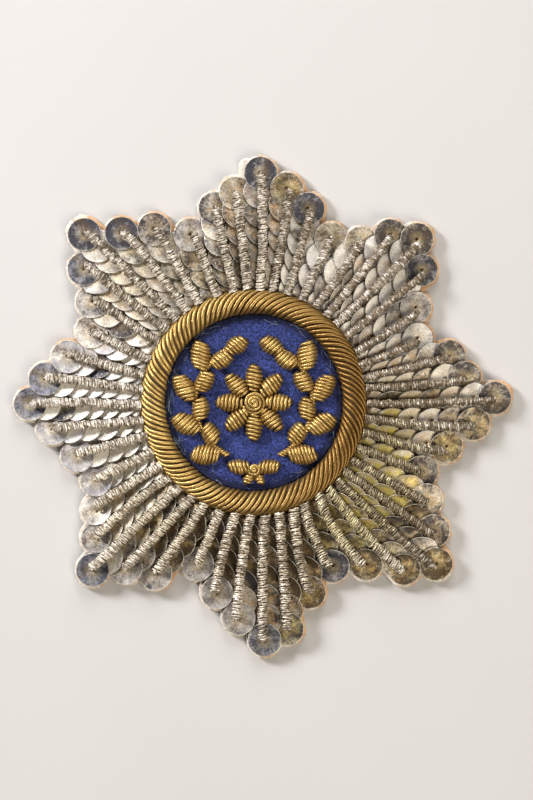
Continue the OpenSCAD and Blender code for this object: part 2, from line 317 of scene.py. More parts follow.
# Heights of a row's sequins and of its ridge, and the slope of the foil's lower side, where the next
# row clockwise is far and where it is close
AXIS_Z = (1.85, 2.35)
RIDGE_Z = (2.89, 3.39)
UNDER_SLOPE = (0.12, 0.33)


def closeness(row, x, side=0.0):
    """0 where the next row clockwise is far from a place at x on this row, and 1 where it is close."""
    before = ALL_ROWS[row.index - 1]
    spot = row.foot + np.asarray(x)[..., None] * row.out + np.asarray(side)[..., None] * row.ccw
    distance = before.local(spot)[..., 1]
    return smooth01((CLOSE_START - distance) / (CLOSE_START - CLOSE_END))


def room_beside(row, x):
    """Distance from a row at x to the ridge of the next row counter-clockwise."""
    after = ALL_ROWS[(row.index + 1) % len(ALL_ROWS)]
    spot = after.local(row.foot + x * row.out)
    past_ridge = max(0.0, float(spot[0]) - (after.length - PURL_SETBACK))
    shift = after.ridge_side(min(float(spot[0]), after.length))
    return shift - float(spot[1]) + past_ridge


# Sequins: points round them, and rings of points from the hole out and back below, in shares of the
# radius, each lifted by half the foil's thickness above its middle or lowered as much
DISC_STEPS = 40
TOP_RINGS = np.array([0.08, 0.24, 0.45, 0.66, 0.82, 0.91, 0.965, 0.992])
UNDER_RINGS = np.array([0.992, 0.93, 0.62, 0.3, 0.08])
FOIL_T = 0.06
DISC_TURN = np.arange(DISC_STEPS) * 2 * math.pi / DISC_STEPS
DISC_RINGS = np.concatenate([TOP_RINGS, [1.0], UNDER_RINGS])[:, None]
DISC_LIFT = np.repeat([0.5, 0.0, -0.5], [len(TOP_RINGS), 1, len(UNDER_RINGS)])[:, None] * FOIL_T
# Waves of the cut rim: how many round a sequin, and their height as a share of its radius
RIM_WAVES = ((3, 0.006), (7, 0.004))
# Section across a row: half its width, its points, and where and how softly it folds up beside the next
# ridge, which it clears
SECTION_HALF, SECTION_POINTS = 3.2, 129
FOLD_Y, FOLD_SOFT, RIDGE_CLEAR = 0.35, 0.3, 0.66
LEAST_RISE, MOST_RISE = math.radians(4.0), math.radians(50.0)
# Where the next ridge is less than the wide room away, a sequin is narrower and shorter
ROOM_WIDE, ROOM_TIGHT = 3.5, 2.5
NARROWED, SHORTENED = 0.66, 0.3
# A sequin is dished and has a lip from this share of its radius on. Its covered part lies flat
DISH, DISH_SPREAD, SADDLE_SPREAD = 0.06, 0.04, 0.03
LIP, LIP_START = 0.05, 0.84
COVER_START, COVER_WIDTH, UNDERLAP = -0.2, 0.6, 0.02
LAP_SLOPE, LAP_SPREAD = 0.068, 0.008
ASIDE_SPREAD = 0.05
# Near the gold ring, which lies on them, sequins are pressed down to this height
PRESSED_FROM_R, PRESSED_TO_R = 18.0, 21.2
PRESSED_Z, PRESSED_SLOPE = 2.5, 1.25
ABOVE_BACKING = 0.06


def fold_profile(rise, under, fold_y):
    """The foil's section across a row: distance along the foil against side, height and slope."""
    along = np.linspace(-SECTION_HALF, SECTION_HALF, SECTION_POINTS)
    slope = blend(under, rise, smooth01((along - fold_y + FOLD_SOFT) / (2 * FOLD_SOFT)))
    step = along[1] - along[0]
    y = np.cumsum(np.cos(slope)) * step
    z = np.cumsum(np.sin(slope)) * step
    middle = len(along) // 2
    return along, y - y[middle], z - z[middle], slope


def fold_at(row, x, side):
    """The foil's section across a row at x, folded up beside the next row's ridge."""
    room = room_beside(row, x)
    fold_y = FOLD_Y + 0.5 * row.ridge_side(min(max(x, 0.0), row.length))
    share = (room - RIDGE_CLEAR - fold_y) / (side - fold_y)
    rise = min(MOST_RISE, max(LEAST_RISE, math.acos(min(1.0, max(0.0, share)))))
    under = math.atan(blend(*UNDER_SLOPE, float(closeness(row, x))))
    return fold_profile(rise, under, fold_y)


def folded(row, x, radius, side, flat_x, flat_y):
    """Where points of a flat disc at x come to lie across the row: side, height and slope."""
    inner, middle, outer = (fold_at(row, x + shift, side) for shift in (-radius, 0.0, radius))
    bent = []
    for column in (1, 2, 3):
        low, mid, high = (np.interp(flat_y, t[0], t[column]) for t in (inner, middle, outer))
        share = flat_x / radius
        bent.append(np.where(share < 0, blend(mid, low, -share), blend(mid, high, share)))
    return bent


def flat_disc(radius, side, rng):
    """Points of a sequin before it is folded. It is as wide as side toward the next row."""
    rim = 1.0
    for waves, height in RIM_WAVES:
        rim = rim + height * np.sin(waves * DISC_TURN + rng.uniform(0, 6))
    r = radius * DISC_RINGS * blend(1.0, rim, DISC_RINGS ** 3)
    x, y = r * np.cos(DISC_TURN), r * np.sin(DISC_TURN)
    return x, np.where(y > 0, y * side / radius, y)


def dished(share_x, is_last, rng):
    """How far the foil rises from its fold. share_x is 1 at a sequin's outer end."""
    dish, saddle = rng.normal(DISH, DISH_SPREAD), rng.normal(0.0, SADDLE_SPREAD)
    rise = DISC_RINGS ** 2 * (dish + saddle * np.cos(2 * DISC_TURN + rng.uniform(0, 2 * math.pi)))
    rise = rise + LIP * smooth01((DISC_RINGS - LIP_START) / (1 - LIP_START))
    covered = 0.0 if is_last else smooth01((share_x - COVER_START) / COVER_WIDTH)
    return rise * (1 - covered) - UNDERLAP * covered


def press(points):
    """Lowers a sequin's points near the gold ring, and keeps all of them above the backing."""
    reach = np.linalg.norm(points[..., :2], axis=-1)
    pressed = PRESSED_Z + PRESSED_SLOPE * np.maximum(0, reach - PRESSED_FROM_R) ** 1.2 + DISC_LIFT
    z = np.where(reach < PRESSED_TO_R, np.minimum(points[..., 2], pressed), points[..., 2])
    points[..., 2] = np.maximum(z, BACKING_TOP + ABOVE_BACKING + DISC_LIFT)


def add_sequin(shape, row, i, rng):
    """Adds one sequin, folded to the room between its own ridge and the next one."""
    x = i * row.pitch
    tight = float(limit01((ROOM_WIDE - room_beside(row, x)) / (ROOM_WIDE - ROOM_TIGHT)))
    radius, side = SEQUIN_R - SHORTENED * tight, SEQUIN_R - NARROWED * tight
    flat_x, flat_y = flat_disc(radius, side, rng)
    y, z, tilt = folded(row, x, radius, side, flat_x, flat_y)
    z = z + dished(flat_x / radius, i == row.steps, rng)
    z = z - (LAP_SLOPE + rng.normal(0, LAP_SPREAD)) * flat_x
    points = row.place(np.stack([
        x + flat_x,
        y + rng.normal(0, ASIDE_SPREAD) - np.sin(tilt) * DISC_LIFT,
        blend(*AXIS_Z, closeness(row, x + flat_x)) + z + np.cos(tilt) * DISC_LIFT,
    ], axis=-1))
    press(points)
    faces = grid_faces(numbered(points), closed_across=True, closed_along=True)
    turn = np.stack([np.cos(DISC_TURN), np.sin(DISC_TURN)], axis=-1)
    disc = raised(DISC_RINGS[..., None] * turn, rng.uniform(0, 50))
    tone, cast = sequin_tones(row, i, rng)
    shape.add(points, [faces], disc=disc.reshape(-1, 3), tone=tone, cast=cast)


# Stains of the silver, with painted light and shade. Columns: bearing, distance from the middle, radius of
# the stain, and how brown, olive, bright and dark it is. The bright and dark columns are partly tarnish and
# polish and partly painted light and shade of that part of the badge. Bearings are degrees counter-clockwise
# from the right.
STAINS_AND_LIGHT = [
    (95, 22, 6, 0.25, 0.1, 0, 0.66), (88, 33, 7, 0.5, 0, 0, 0.4), (112, 24, 6, 0.25, 0.15, 0, 0.45),
    (135, 28, 6, 0.2, 0.15, 0.15, 0.1), (143, 26, 5, 0.1, 0.1, 0.45, 0.05),
    (155, 25, 7, 0.1, 0, 0.6, 0.05), (170, 27, 8, 0.05, 0, 0.65, 0.05),
    (190, 26, 8, 0.05, 0, 0.65, 0.1), (208, 26, 7, 0.1, 0.1, 0.5, 0),
    (178, 34, 6, 0, 0, 0.8, -0.2), (197, 31, 5, 0, 0, 0.8, -0.15),
    (225, 25, 7, 0.45, 0.2, 0, 0.4), (240, 23, 6, 0.6, 0.15, 0, 0.6), (262, 23, 7, 0.85, 0.1, 0, 1.05),
    (280, 23, 7, 0.95, 0.1, 0, 1.25), (298, 23, 6, 0.65, 0.25, 0, 0.45),
    (250, 31, 7, 0.5, 0.05, 0, 0.25), (282, 32, 7, 0.9, 0.1, 0, 0.45), (312, 26, 6, 0.5, 0.5, 0, 0.15),
    (322, 23, 6, 0.2, 1.2, 0.1, -0.1), (332, 24, 5, 0.2, 1.0, 0.1, -0.1), (345, 22, 5, 0.35, 0.6, 0.1, 0),
    (323, 33, 7, 0.9, 0.05, 0, 0.7), (342, 30, 5, 0.5, 0.1, 0.2, 0.1),
    (355, 28, 6, 0.2, 0.1, 0.9, -0.15), (4, 31, 6, 0.2, 0.08, 1.7, -0.35), (20, 29, 5, 0.1, 0, 1.2, -0.3),
    (2, 21, 4, 0.2, 0.25, 0.2, 0.1), (10, 25, 5, 0.25, 0.08, 0.6, -0.1),
    (15.8, 28.6, 2.5, 0, 0, 1.6, -0.4), (22, 26, 5, 0.1, 0, 0.7, -0.1),
    (35, 23, 6, 0.1, 0, 1.8, -0.35), (50, 22, 6, 0.1, 0, 1.8, -0.35), (48, 30, 5, 0.3, 0, 0.7, 0),
    (66, 24, 6, 0.1, 0, 1.2, -0.1), (78, 26, 6, 0.25, 0.05, 0.1, 0.15),
]
# Finish of the last sequin of each row: how dark, brown, olive and lilac it is
FOILS = {
    "slate": (0.99, 0.05, 0.0, 0.6), "blue": (0.75, 0.0, 0.0, 1.3), "lilac": (0.36, 0.05, 0.0, 0.75),
    "pale": (0.2, 0.05, 0.0, 0.3), "ash": (0.52, 0.12, 0.0, 0.4), "grey": (0.85, 0.25, 0.05, 0.2),
    "umber": (0.9, 0.85, 0.35, 0.0), "gold": (0.8, 0.6, 0.5, 0.1), "moss": (0.8, 0.15, 0.7, 0.1),
    "grime": (0.95, 0.3, 0.15, 0.4), "tan": (0.57, 0.35, 0.1, 0.05), "dusk": (0.8, 0.6, 0.3, 0.3),
}
LAST_FOILS = """
    slate tan grey ash grey slate  slate blue ash pale lilac blue
    blue lilac lilac lilac pale ash  blue ash ash ash ash ash
    blue moss umber slate umber umber  umber grime tan grey gold dusk
    grime grime grime pale ash slate  grime grime tan tan slate dusk
""".split()
LAST_SHINE = 0.12
# How strongly the foil is darkened brown in a band along the clockwise side of the ridge, in the points from
# n on
SIDE_BANDS = (0.6, 1.0, 0.7, 0.4, 0.3, 0.4, 0.3, 0.3)
# The other sequins: how dark they are without a stain, how much that varies, and how far a bright stain,
# partly painted light, lightens them
PLAIN_DARK, DARK_SPREAD, LIGHTENED = 0.20, 0.14, 0.2
# Among bright sequins some have gone dull: from which brightness, how often for each step above it, how
# much darker they are and how much brightness they keep
DULLED_FROM, DULLED_OFTEN, DULLED_DARKER, DULLED_BRIGHT = 0.7, 0.35, 0.75, 0.1
BROWN_RANGE, OLIVE_RANGE, SHINE_RANGE = (0.3, 1.7), (0.3, 1.6), (0.1, 1.6)
LILAC_START, LILAC_RISE, LILAC_SPREAD = 0.1, 0.25, 0.3


def stains_and_light_at(spot):
    """How brown, olive, bright and dark the silver is at a place of the plan; bright and dark are partly
    painted light and shade.
    """
    chart = np.array(STAINS_AND_LIGHT)
    away = np.sum((polar(chart[:, 1], chart[:, 0]) - spot) ** 2, axis=1)
    return (np.exp(-away / chart[:, 2] ** 2)[:, None] * chart[:, 3:]).sum(axis=0)


def sequin_tones(row, i, rng):
    """A sequin's tone (dark, brown, olive) and cast (shine, lilac, side band), which its foil reads."""
    # bright and dark hold painted light and shade of the region as well as tarnish
    brown, olive, bright, dark = stains_and_light_at(row.foot + i * row.pitch * row.out)
    if i == row.steps:
        dark, brown, olive, lilac = FOILS[LAST_FOILS[row.index]]
        shine = LAST_SHINE * bright
    else:
        if rng.random() < DULLED_OFTEN * (bright - DULLED_FROM):
            dark, bright = dark + DULLED_DARKER, DULLED_BRIGHT * bright
        dark = PLAIN_DARK + dark + rng.normal(0, DARK_SPREAD) - LIGHTENED * bright
        brown, olive = brown * rng.uniform(*BROWN_RANGE), olive * rng.uniform(*OLIVE_RANGE)
        lilac = max(0.0, rng.normal(LILAC_START + LILAC_RISE * i / row.steps, LILAC_SPREAD))
        shine = bright * rng.uniform(*SHINE_RANGE)
    side_band = SIDE_BANDS[row.index // ROWS_IN_POINT]
    return np.clip([dark, brown, olive], 0, 1), np.clip([shine, lilac, side_band], 0, 1)


def sequins(point, material):
    """The sequins of one point of the star."""
    shape, rng = Shape(), np.random.default_rng(SEQUIN_SEED + point)
    for row in rows_of(point):
        for i in range(row.steps + 1):
            add_sequin(shape, row, i, rng)
    name = POINTS[point]
    shape.piece(f"foil_sequins_{name}", material, "silver_sequin", [f"sequins_{name}"])


# Silver purl, a faceted wire coiled round: advance and points of a turn, the wire's radius and sides, and
# how much thinner a ridge is between its stitches, one for each sequin
COIL_PITCH, COIL_STEPS = 0.35, 10.37
WIRE_R, WIRE_SIDES, WAIST = 0.15, 5, 0.03
# A ridge starts a little under the gold ring, ends one of these lengths past its last sequin's middle, and
# dives into the hole there
UNDER_RING, OVERRUNS = 0.1, (0.05, 0.2, 0.3, 0.4)
DIVE, DIVE_DEPTH, DIVE_THINNED = 0.75, 0.75, 0.8
STITCH_RISE, RIDGE_SINK = 0.03, 0.04
# Slow drifts along a ridge, each as spacing and spread: sideways, in radius, in twist, in how far the
# turns lean, and along the ridge
SIDE_DRIFT, RADIUS_DRIFT, TWIST_DRIFT = (1.1, 0.05), (0.15, 0.04), (0.35, 0.2)
LEAN_DRIFT, ALONG_DRIFT = (0.4, 0.07), (0.17, 0.04)
COIL_LEAN, COIL_JITTER, WIRE_JITTER = 0.13, 0.045, 0.05
# Radius of the coil in the eight points of the star, from n on
COIL_R = (0.82, 0.80, 0.80, 0.84, 0.88, 0.80, 0.72, 0.76)
# How much duller than the brightest the wire is in the eight points, from n on, partly tarnish and partly
# painted shade of each point, and how that varies
COIL_DULL_AND_SHADE = (0.25, 0.46, 0.32, 0.14, 0.32, 0.92, 1.02, 0.64)
DULL_DRIFTS = ((0.16, 0.12), (1.5, 0.14))
DULL_JITTER = 0.42
# Thread inside a ridge: radius, radius at its end, how fast it widens, and its share of the wire's points
CORE_R, CORE_END_R, CORE_WIDENS = 0.46, 0.1, 0.25
CORE_SIDES, CORE_EVERY = 8, 9


def wander(x, spacing, amount, rng):
    """A value that drifts smoothly along a row."""
    knots = np.arange(x[0] - spacing, x[-1] + 2 * spacing, spacing)
    return np.interp(x, knots, rng.normal(0, amount, len(knots)))


def purl_tones(row, x, shaded_underside, rng):
    """Tone (dull, brown, olive) of the wire along a ridge. The third argument is 1 on the coil's underside,
    which is painted duller and browner: painted shade, partly tarnish.
    """
    places = np.linspace(0.0, row.length, 4)
    stain_and_light = np.array([stains_and_light_at(row.foot + a * row.out) for a in places])
    brown, olive, _, dark = (np.interp(x, places, stain_and_light[:, k]) for k in range(4))
    dull = COIL_DULL_AND_SHADE[row.index // ROWS_IN_POINT]
    for drift in DULL_DRIFTS:
        dull = dull + wander(x, *drift, rng)
    # The coil's underside is painted duller and browner: painted shade, partly tarnish
    dull = dull + 0.15 * dark + rng.normal(0, DULL_JITTER, len(x)) + 0.4 * shaded_underside
    return np.clip(np.stack([dull, 0.15 + 0.8 * brown + 0.6 * shaded_underside, 1.2 * olive], axis=-1), 0, 1)


def add_core(core, row, spine):
    """Adds the thread inside a ridge, along points of the row's own frame."""
    radii = np.minimum(CORE_R, CORE_END_R + CORE_WIDENS * np.arange(len(spine))[::-1])
    ups = np.broadcast_to([0.0, 0.0, 1.0], spine.shape)
    tubes(core, row.place(spine)[None], ups[None], radii[None], CORE_SIDES, tone=np.zeros(1))


def add_purl(shape, core, row, rng):
    """Adds the coiled ridge of one row, which ends in the hole of its last sequin."""
    start, end = RING_HALF - SEQUIN_R - UNDER_RING, row.length + rng.choice(OVERRUNS)
    turns = (end - start) / COIL_PITCH
    count = int(turns * COIL_STEPS)
    t = np.linspace(0, 1, count)
    x = blend(start, end, t)
    side = row.ridge_side(x) + wander(x, *SIDE_DRIFT, rng)
    stitch = np.abs(np.sin(math.pi * limit01(x / row.length) * row.steps)) ** 0.6
    dive = smooth01((x - (end - DIVE)) / DIVE) ** 1.5
    r = COIL_R[row.index // ROWS_IN_POINT] - WIRE_R - WAIST * (1 - stitch) + wander(x, *RADIUS_DRIFT, rng)
    r = (r + rng.normal(0, COIL_JITTER, count)) * (1 - DIVE_THINNED * dive)
    z = blend(*RIDGE_Z, closeness(row, x, side)) - RIDGE_SINK + STITCH_RISE * stitch - DIVE_DEPTH * dive
    turn = 2 * math.pi * turns * t + wander(x, *TWIST_DRIFT, rng)
    outward = np.stack([0 * t, np.cos(turn), np.sin(turn)], axis=-1)
    lean = (COIL_LEAN + wander(x, *LEAN_DRIFT, rng)) * np.sin(turn + rng.uniform(0, 6))
    lean = lean + wander(x, *ALONG_DRIFT, rng) + rng.normal(0, COIL_JITTER, count)
    local = np.stack([x + lean, side, z], axis=-1) + outward * r[:, None]
    wire = WIRE_R * (1 + rng.normal(0, WIRE_JITTER, count))
    tone = purl_tones(row, x, 0.5 - 0.5 * outward[:, 2], rng)
    tubes(shape, row.place(local)[None], row.direction(outward)[None], wire[None], WIRE_SIDES,
          tone=tone[None])
    inside = x < end - DIVE * 0.6
    add_core(core, row, np.stack([x, side, z], axis=-1)[inside][::CORE_EVERY])


def purl(point, material, core_material):
    """The six silver ridges of one point of the star, with the thread inside them."""
    shape, core, rng = Shape(), Shape(), np.random.default_rng(PURL_SEED + point)
    for row in rows_of(point):
        add_purl(shape, core, row, rng)
    name = POINTS[point]
    shape.piece(f"silver_coils_{name}", material, "silver_purl", [f"purl_{name}"], smooth=False)
    core.piece(f"purl_thread_{name}", core_material, "silver_purl", [])


# Gold strands of the ornament: radius, sides, and their age, beside 1 for the ring's darkest part, where
# tarnish and painted shade add up
PAD_STRAND_R, PAD_SIDES, PAD_AGE = 0.28, 8, 0.38


def add_strands(shape, paths, outward, radius, tones, sides=PAD_SIDES, age=PAD_AGE):
    """Adds round-ended strands of gold purl, with a tone for each."""
    paths, outward, radii = round_ended(paths, outward, radius)
    steps = np.linalg.norm(np.diff(paths, axis=1, prepend=paths[:, :1]), axis=-1)
    along = np.cumsum(steps, axis=1)
    tubes(shape, paths, outward, radii, sides, tone=tones, along=along, age=age + 0 * along)


def gold_pieces(name, node, strands, padding, materials):
    """Makes a piece of strands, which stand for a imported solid, and the piece of padding under them."""
    strands.piece(f"{name}_strands", materials[0], "gold_purl", [node])
    under = padding.piece(f"{name}_padding", materials[1], "gold_purl", [])


# Gold ring: strands laid slantwise over a half-round padding
STRANDS, STRAND_R = 105, 0.315
STRAND_POINTS, STRAND_SIDES = 22, 10
# Spread of the strands' bearings, sweeps and heights, and how far their inner ends are cut in or out
BEARING_SPREAD, SWEEP_SPREAD, HEIGHT_SPREAD, CUT_IN = 0.2, 0.4, 0.03, 0.12
# Height of a strand's ends over the half round's foot, how much less its middle rises, and how much more
# it turns at its outer end
STRAND_FOOT, STRAND_SINK, STRAND_BEND = 0.12, 0.06, 0.5
# Bearing where the ring is darkest, and how far that reaches: partly tarnish, partly painted shade on the
# side away from the key light
DARKEST_BEARING, DARKENING_SPREAD = -2.0, 0.75
# Charted from the photo, one value for each 30 degrees from the right on: how many strands a whole ring
# would have that were as close, and the degrees that a strand sweeps round between the ring's edges
STRAND_DENSITY = (102, 107, 98, 105, 107, 110, 121, 118, 108, 111, 97, 96)
STRAND_SWEEP = (18.0, 16.6, 20.5, 17.5, 15.0, 13.5, 11.5, 12.2, 14.5, 12.5, 21.5, 24.5)
# Section of the padding: distance from the middle and height
PADDING_SECTION = np.array([
    (14.15, FELT_BOTTOM), (14.2, 2.5), (14.35, 3.1), (14.8, 3.75), (15.4, 4.15), (16.1, 4.3),
    (16.8, 4.15), (17.4, 3.75), (17.85, 3.1), (17.9, 2.68), (16.0, 2.68), (15.9, FELT_BOTTOM),
])
PADDING_STEPS = 120


def round_chart(chart, bearings):
    """Value at each bearing of a chart whose values are spread evenly round the ring."""
    return np.interp(bearings, np.arange(len(chart)) * 360 / len(chart), chart, period=360)


def strand_bearings():
    """Bearings of the strands' middles, closer together where the photo shows them so."""
    bearings = np.arange(361.0)
    density = round_chart(STRAND_DENSITY, bearings)
    passed = np.concatenate([[0], np.cumsum((density[1:] + density[:-1]) / 2)])
    return np.interp(np.arange(STRANDS) / STRANDS, passed / passed[-1], bearings)


def ring_strands():
    """The strands that cross the ring from its outer edge to its inner one."""
    shape, rng = Shape(), np.random.default_rng(RING_SEED)
    each = (STRANDS, 1)
    t = np.linspace(0, 1, STRAND_POINTS)[None]
    middle = strand_bearings()[:, None] + rng.normal(0, BEARING_SPREAD, each)
    sweep = round_chart(STRAND_SWEEP, middle) + rng.normal(0, SWEEP_SPREAD, each)
    cut_in = rng.uniform(-CUT_IN, CUT_IN, each)
    strand_r = STRAND_R * (STRANDS / round_chart(STRAND_DENSITY, middle)) ** 0.9
    half = RING_HALF - strand_r
    over, rise = np.cos(t * math.pi), np.sin(t * math.pi)
    r = RING_R + half * over - cut_in * t ** 4
    z = RING_Z + STRAND_FOOT + (half - STRAND_SINK + rng.normal(0, HEIGHT_SPREAD, each)) * rise ** 0.9
    turned = (1 + STRAND_BEND) * t - STRAND_BEND * t ** 2 - (0.5 + STRAND_BEND / 4)
    bearing = middle + sweep * turned
    outward = raised(polar(over, bearing), rise)
    # The ring darkens toward the right: tarnish, and painted shade of the side away from the key light
    age = (0.5 + 0.5 * np.cos(np.radians(bearing - DARKEST_BEARING))) ** DARKENING_SPREAD
    add_strands(shape, raised(polar(r, bearing), z), outward, strand_r, rng.uniform(0, 1, STRANDS),
                STRAND_SIDES, ends_repeated(age))
    return shape


def ring(materials):
    """The gold ring: its strands and the padding under them."""
    plan = polar(PADDING_SECTION[:, :1], np.arange(PADDING_STEPS)[None] * 360 / PADDING_STEPS)
    points = raised(plan, PADDING_SECTION[:, 1:])
    faces = grid_faces(numbered(points), closed_across=True, closed_along=True)[:, ::-1]
    core = Shape()
    core.add(points, [faces], tone=0.0)
    gold_pieces("ring", "ring", ring_strands(), core, materials)


def crown_r(length, height):
    """Radius of the ball that a pad's top follows."""
    fall = CROWN_FALL * height
    return (length ** 2 / 4 + fall ** 2) / (2 * fall)


def lens_half_width(length, width, x):
    """Half of a pointed pad's width at x along it."""
    side_r = (length ** 2 + width ** 2) / (4 * width)
    inside = np.maximum(side_r ** 2 - (x - length / 2) ** 2, 0)
    return np.maximum(np.sqrt(inside) - (side_r - width / 2), 0)


def crown_z(length, height, x, y):
    """Height of a pad's top over its foot."""
    ball = crown_r(length, height)
    inside = np.maximum(ball ** 2 - (x - length / 2) ** 2 - y ** 2, 0)
    return np.maximum(height - ball + np.sqrt(inside), 0.1)


def dome(across):
    """Height of a pad's section, from 1 in its middle to 0 at its sides."""
    return np.sqrt(np.maximum(1 - np.abs(across) ** 2.6, 0))


# A pad's strands: how close, how many points, how slanted, and how far the outermost lie from its tips
PAD_PITCH, PAD_POINTS, PAD_SLANT, PAD_TIP = 0.56, 15, 0.42, 0.55
# Spread of where a pad's strands lie, how far they reach, and how high they are
PLACE_SPREAD, REACH_SPREAD, TOP_SPREAD = 0.03, 0.03, 0.035
# How far strands lie inside a pad's edge and over its foot, as shares of their radius, how far they reach
# at least, and how far they bow along the pad
PAD_INSET, PAD_FOOT, LEAST_REACH, PAD_BOW = 0.6, 0.35, 0.12, 0.1
REACH_ROUNDS = 12
# The padding's points along and across, its share of the pad's width, and how far it lies below the top
LENS_POINTS, LENS_WIDTH, LENS_BELOW = (12, 9), 0.82, 0.42


def place_pad(points, origin, bearing, mirrored):
    """Points of a pad's own frame, turned and moved to the pad's place in the ornament."""
    c, s = math.cos(math.radians(bearing)), math.sin(math.radians(bearing))
    x = origin[0] + points[..., 0] * c - points[..., 1] * s
    y = origin[1] + points[..., 0] * s + points[..., 1] * c
    return np.stack([-x if mirrored else x, y, points[..., 2]], axis=-1)


def strand_reach(length, width, x_mid, slant, side):
    """How far slanted strands reach to a side before they come to the pad's edge, found in rounds."""
    reach = np.zeros((len(x_mid), PAD_POINTS)) + lens_half_width(length, width, x_mid)
    for _ in range(REACH_ROUNDS):
        reach = 0.5 * reach + 0.5 * lens_half_width(length, width, x_mid + slant * side * reach)
    return np.maximum(reach - PAD_STRAND_R * PAD_INSET, LEAST_REACH)


def add_pad(strands, padding, origin, bearing, size, rng, mirrored=False, slant=PAD_SLANT):
    """Adds one pointed pad worked over with slanted strands. size is its length, width and height."""
    length, width, height = size
    inner = length - 2 * PAD_TIP
    count = max(3, round(inner / PAD_PITCH))
    each = (count, 1)
    x_mid = PAD_TIP + (np.arange(count)[:, None] + 0.5) * inner / count + rng.normal(0, PLACE_SPREAD, each)
    swing = np.sin(np.linspace(-1, 1, PAD_POINTS)[None] * math.pi / 2)
    reach = strand_reach(length, width, x_mid, slant, np.sign(swing))
    reach = reach * (1 + rng.normal(0, REACH_SPREAD, each))
    y = reach * swing
    x = x_mid + slant * y + PAD_BOW * (y / width) ** 2
    rise, foot = dome(swing) ** 0.9, PAD_STRAND_R * PAD_FOOT
    top = crown_z(length, height, x, y) - PAD_STRAND_R + rng.normal(0, TOP_SPREAD, each)
    path = np.stack([x, y, ORNAMENT_Z + foot + (top - foot) * rise], axis=-1)
    paths = place_pad(path, origin, bearing, mirrored)
    out = np.stack(np.broadcast_arrays(0 * x, swing, rise + 0.15), axis=-1)
    out = unit(place_pad(out, (0, 0), bearing, mirrored))
    if mirrored:
        paths, out = paths[:, ::-1], out[:, ::-1]
    add_strands(strands, paths, out, PAD_STRAND_R, rng.uniform(0, 1, count))
    add_lens(padding, origin, bearing, size, mirrored)


def add_lens(shape, origin, bearing, size, mirrored):
    """Adds the solid padding of a pointed pad, a little inside its strands."""
    length, width, height = size
    u = np.linspace(0.04, 0.96, LENS_POINTS[0])[:, None] * length
    v = np.linspace(-1, 1, LENS_POINTS[1])[None]
    x, y = u + 0 * v, lens_half_width(length, width, u) * LENS_WIDTH * v
    top = np.stack([x, y, ORNAMENT_Z + (crown_z(length, height, x, y) - LENS_BELOW) * dome(v)], axis=-1)
    bottom = raised(top[:, -2:0:-1, :2], ORNAMENT_Z)
    skin = np.concatenate([top, bottom], axis=1)
    add_body(shape, place_pad(skin, origin, bearing, mirrored), flipped=mirrored, tone=0.0)


# A coiled button: its turns' closeness, points in each turn and radius of the innermost turn. Its padding
# has rings from the top's middle down, as shares of the coil's radius and of the height
BUTTON_PACKED, BUTTON_POINTS, BUTTON_EYE = 0.97, 34, 0.06
BUTTON_RINGS = np.array([0.25, 0.6, 0.9, 0.93])[:, None]
BUTTON_HEIGHTS = np.array([0.93, 0.86, 0.62, 0.0])[:, None]


def add_button(strands, padding, centre, diameter, height, rng):
    """Adds a domed button: one strand of purl coiled flat from its rim to its middle."""
    outer = diameter / 2 - PAD_STRAND_R
    turns = outer / (2 * PAD_STRAND_R * BUTTON_PACKED)
    t = np.linspace(0, 1, int(turns * BUTTON_POINTS))
    r = outer * (1 - t) + BUTTON_EYE
    angle = 2 * math.pi * turns * t + rng.uniform(0, 6)
    z = ORNAMENT_Z + crown_z(diameter, height, diameter / 2 + r, 0) - PAD_STRAND_R
    flat = polar(r, np.degrees(angle))
    out = unit(raised(0.4 * flat, 1.0))
    add_strands(strands, raised(flat + centre, z)[None], out[None], PAD_STRAND_R,
                np.array([rng.uniform(0.3, 0.8)]))
    plan = polar(BUTTON_RINGS * outer, np.arange(24)[None] * 15.0) + centre
    heights = ORNAMENT_Z + BUTTON_HEIGHTS * (height - 2 * PAD_STRAND_R)
    add_body(padding, raised(plan, heights), tone=0.0)


# A stem's strands: how close, how many points, radius, and the degrees that each half slants
STEM_PITCH, STEM_POINTS, STEM_STRAND_R, STEM_SLANT = 0.5, 9, 0.23, 1.7


def add_stem(strands, rng, mirrored):
    """Adds a branch's stem: short strands laid slantwise side by side, like a rope."""
    overrun = (BRANCH_END - BRANCH_START) / LEAF_PAIRS / 6
    first, last = BRANCH_START - overrun, BRANCH_END + overrun
    count = round(math.radians(last - first) * BRANCH_R / STEM_PITCH)
    middle = blend(first, last, (np.arange(count)[:, None] + 0.5) / count)
    angle = np.linspace(-1, 1, STEM_POINTS)[None] * math.pi / 2
    swing, rise = np.sin(angle), np.cos(angle)
    r = BRANCH_R + (STEM_W / 2 - 0.1) * swing * (1 + rng.normal(0, 0.06, (count, 1)))
    z = ORNAMENT_Z + 0.1 + (STEM_H - 0.32) * rise ** 0.8 + rng.normal(0, 0.02, (count, 1))
    bearing = middle + swing * STEM_SLANT
    mirror = [-1 if mirrored else 1, 1, 1]
    out = unit(raised(polar(swing, bearing), rise + 0.2))
    add_strands(strands, raised(polar(r, bearing), z) * mirror, out * mirror, STEM_STRAND_R,
                rng.uniform(0, 1, count))


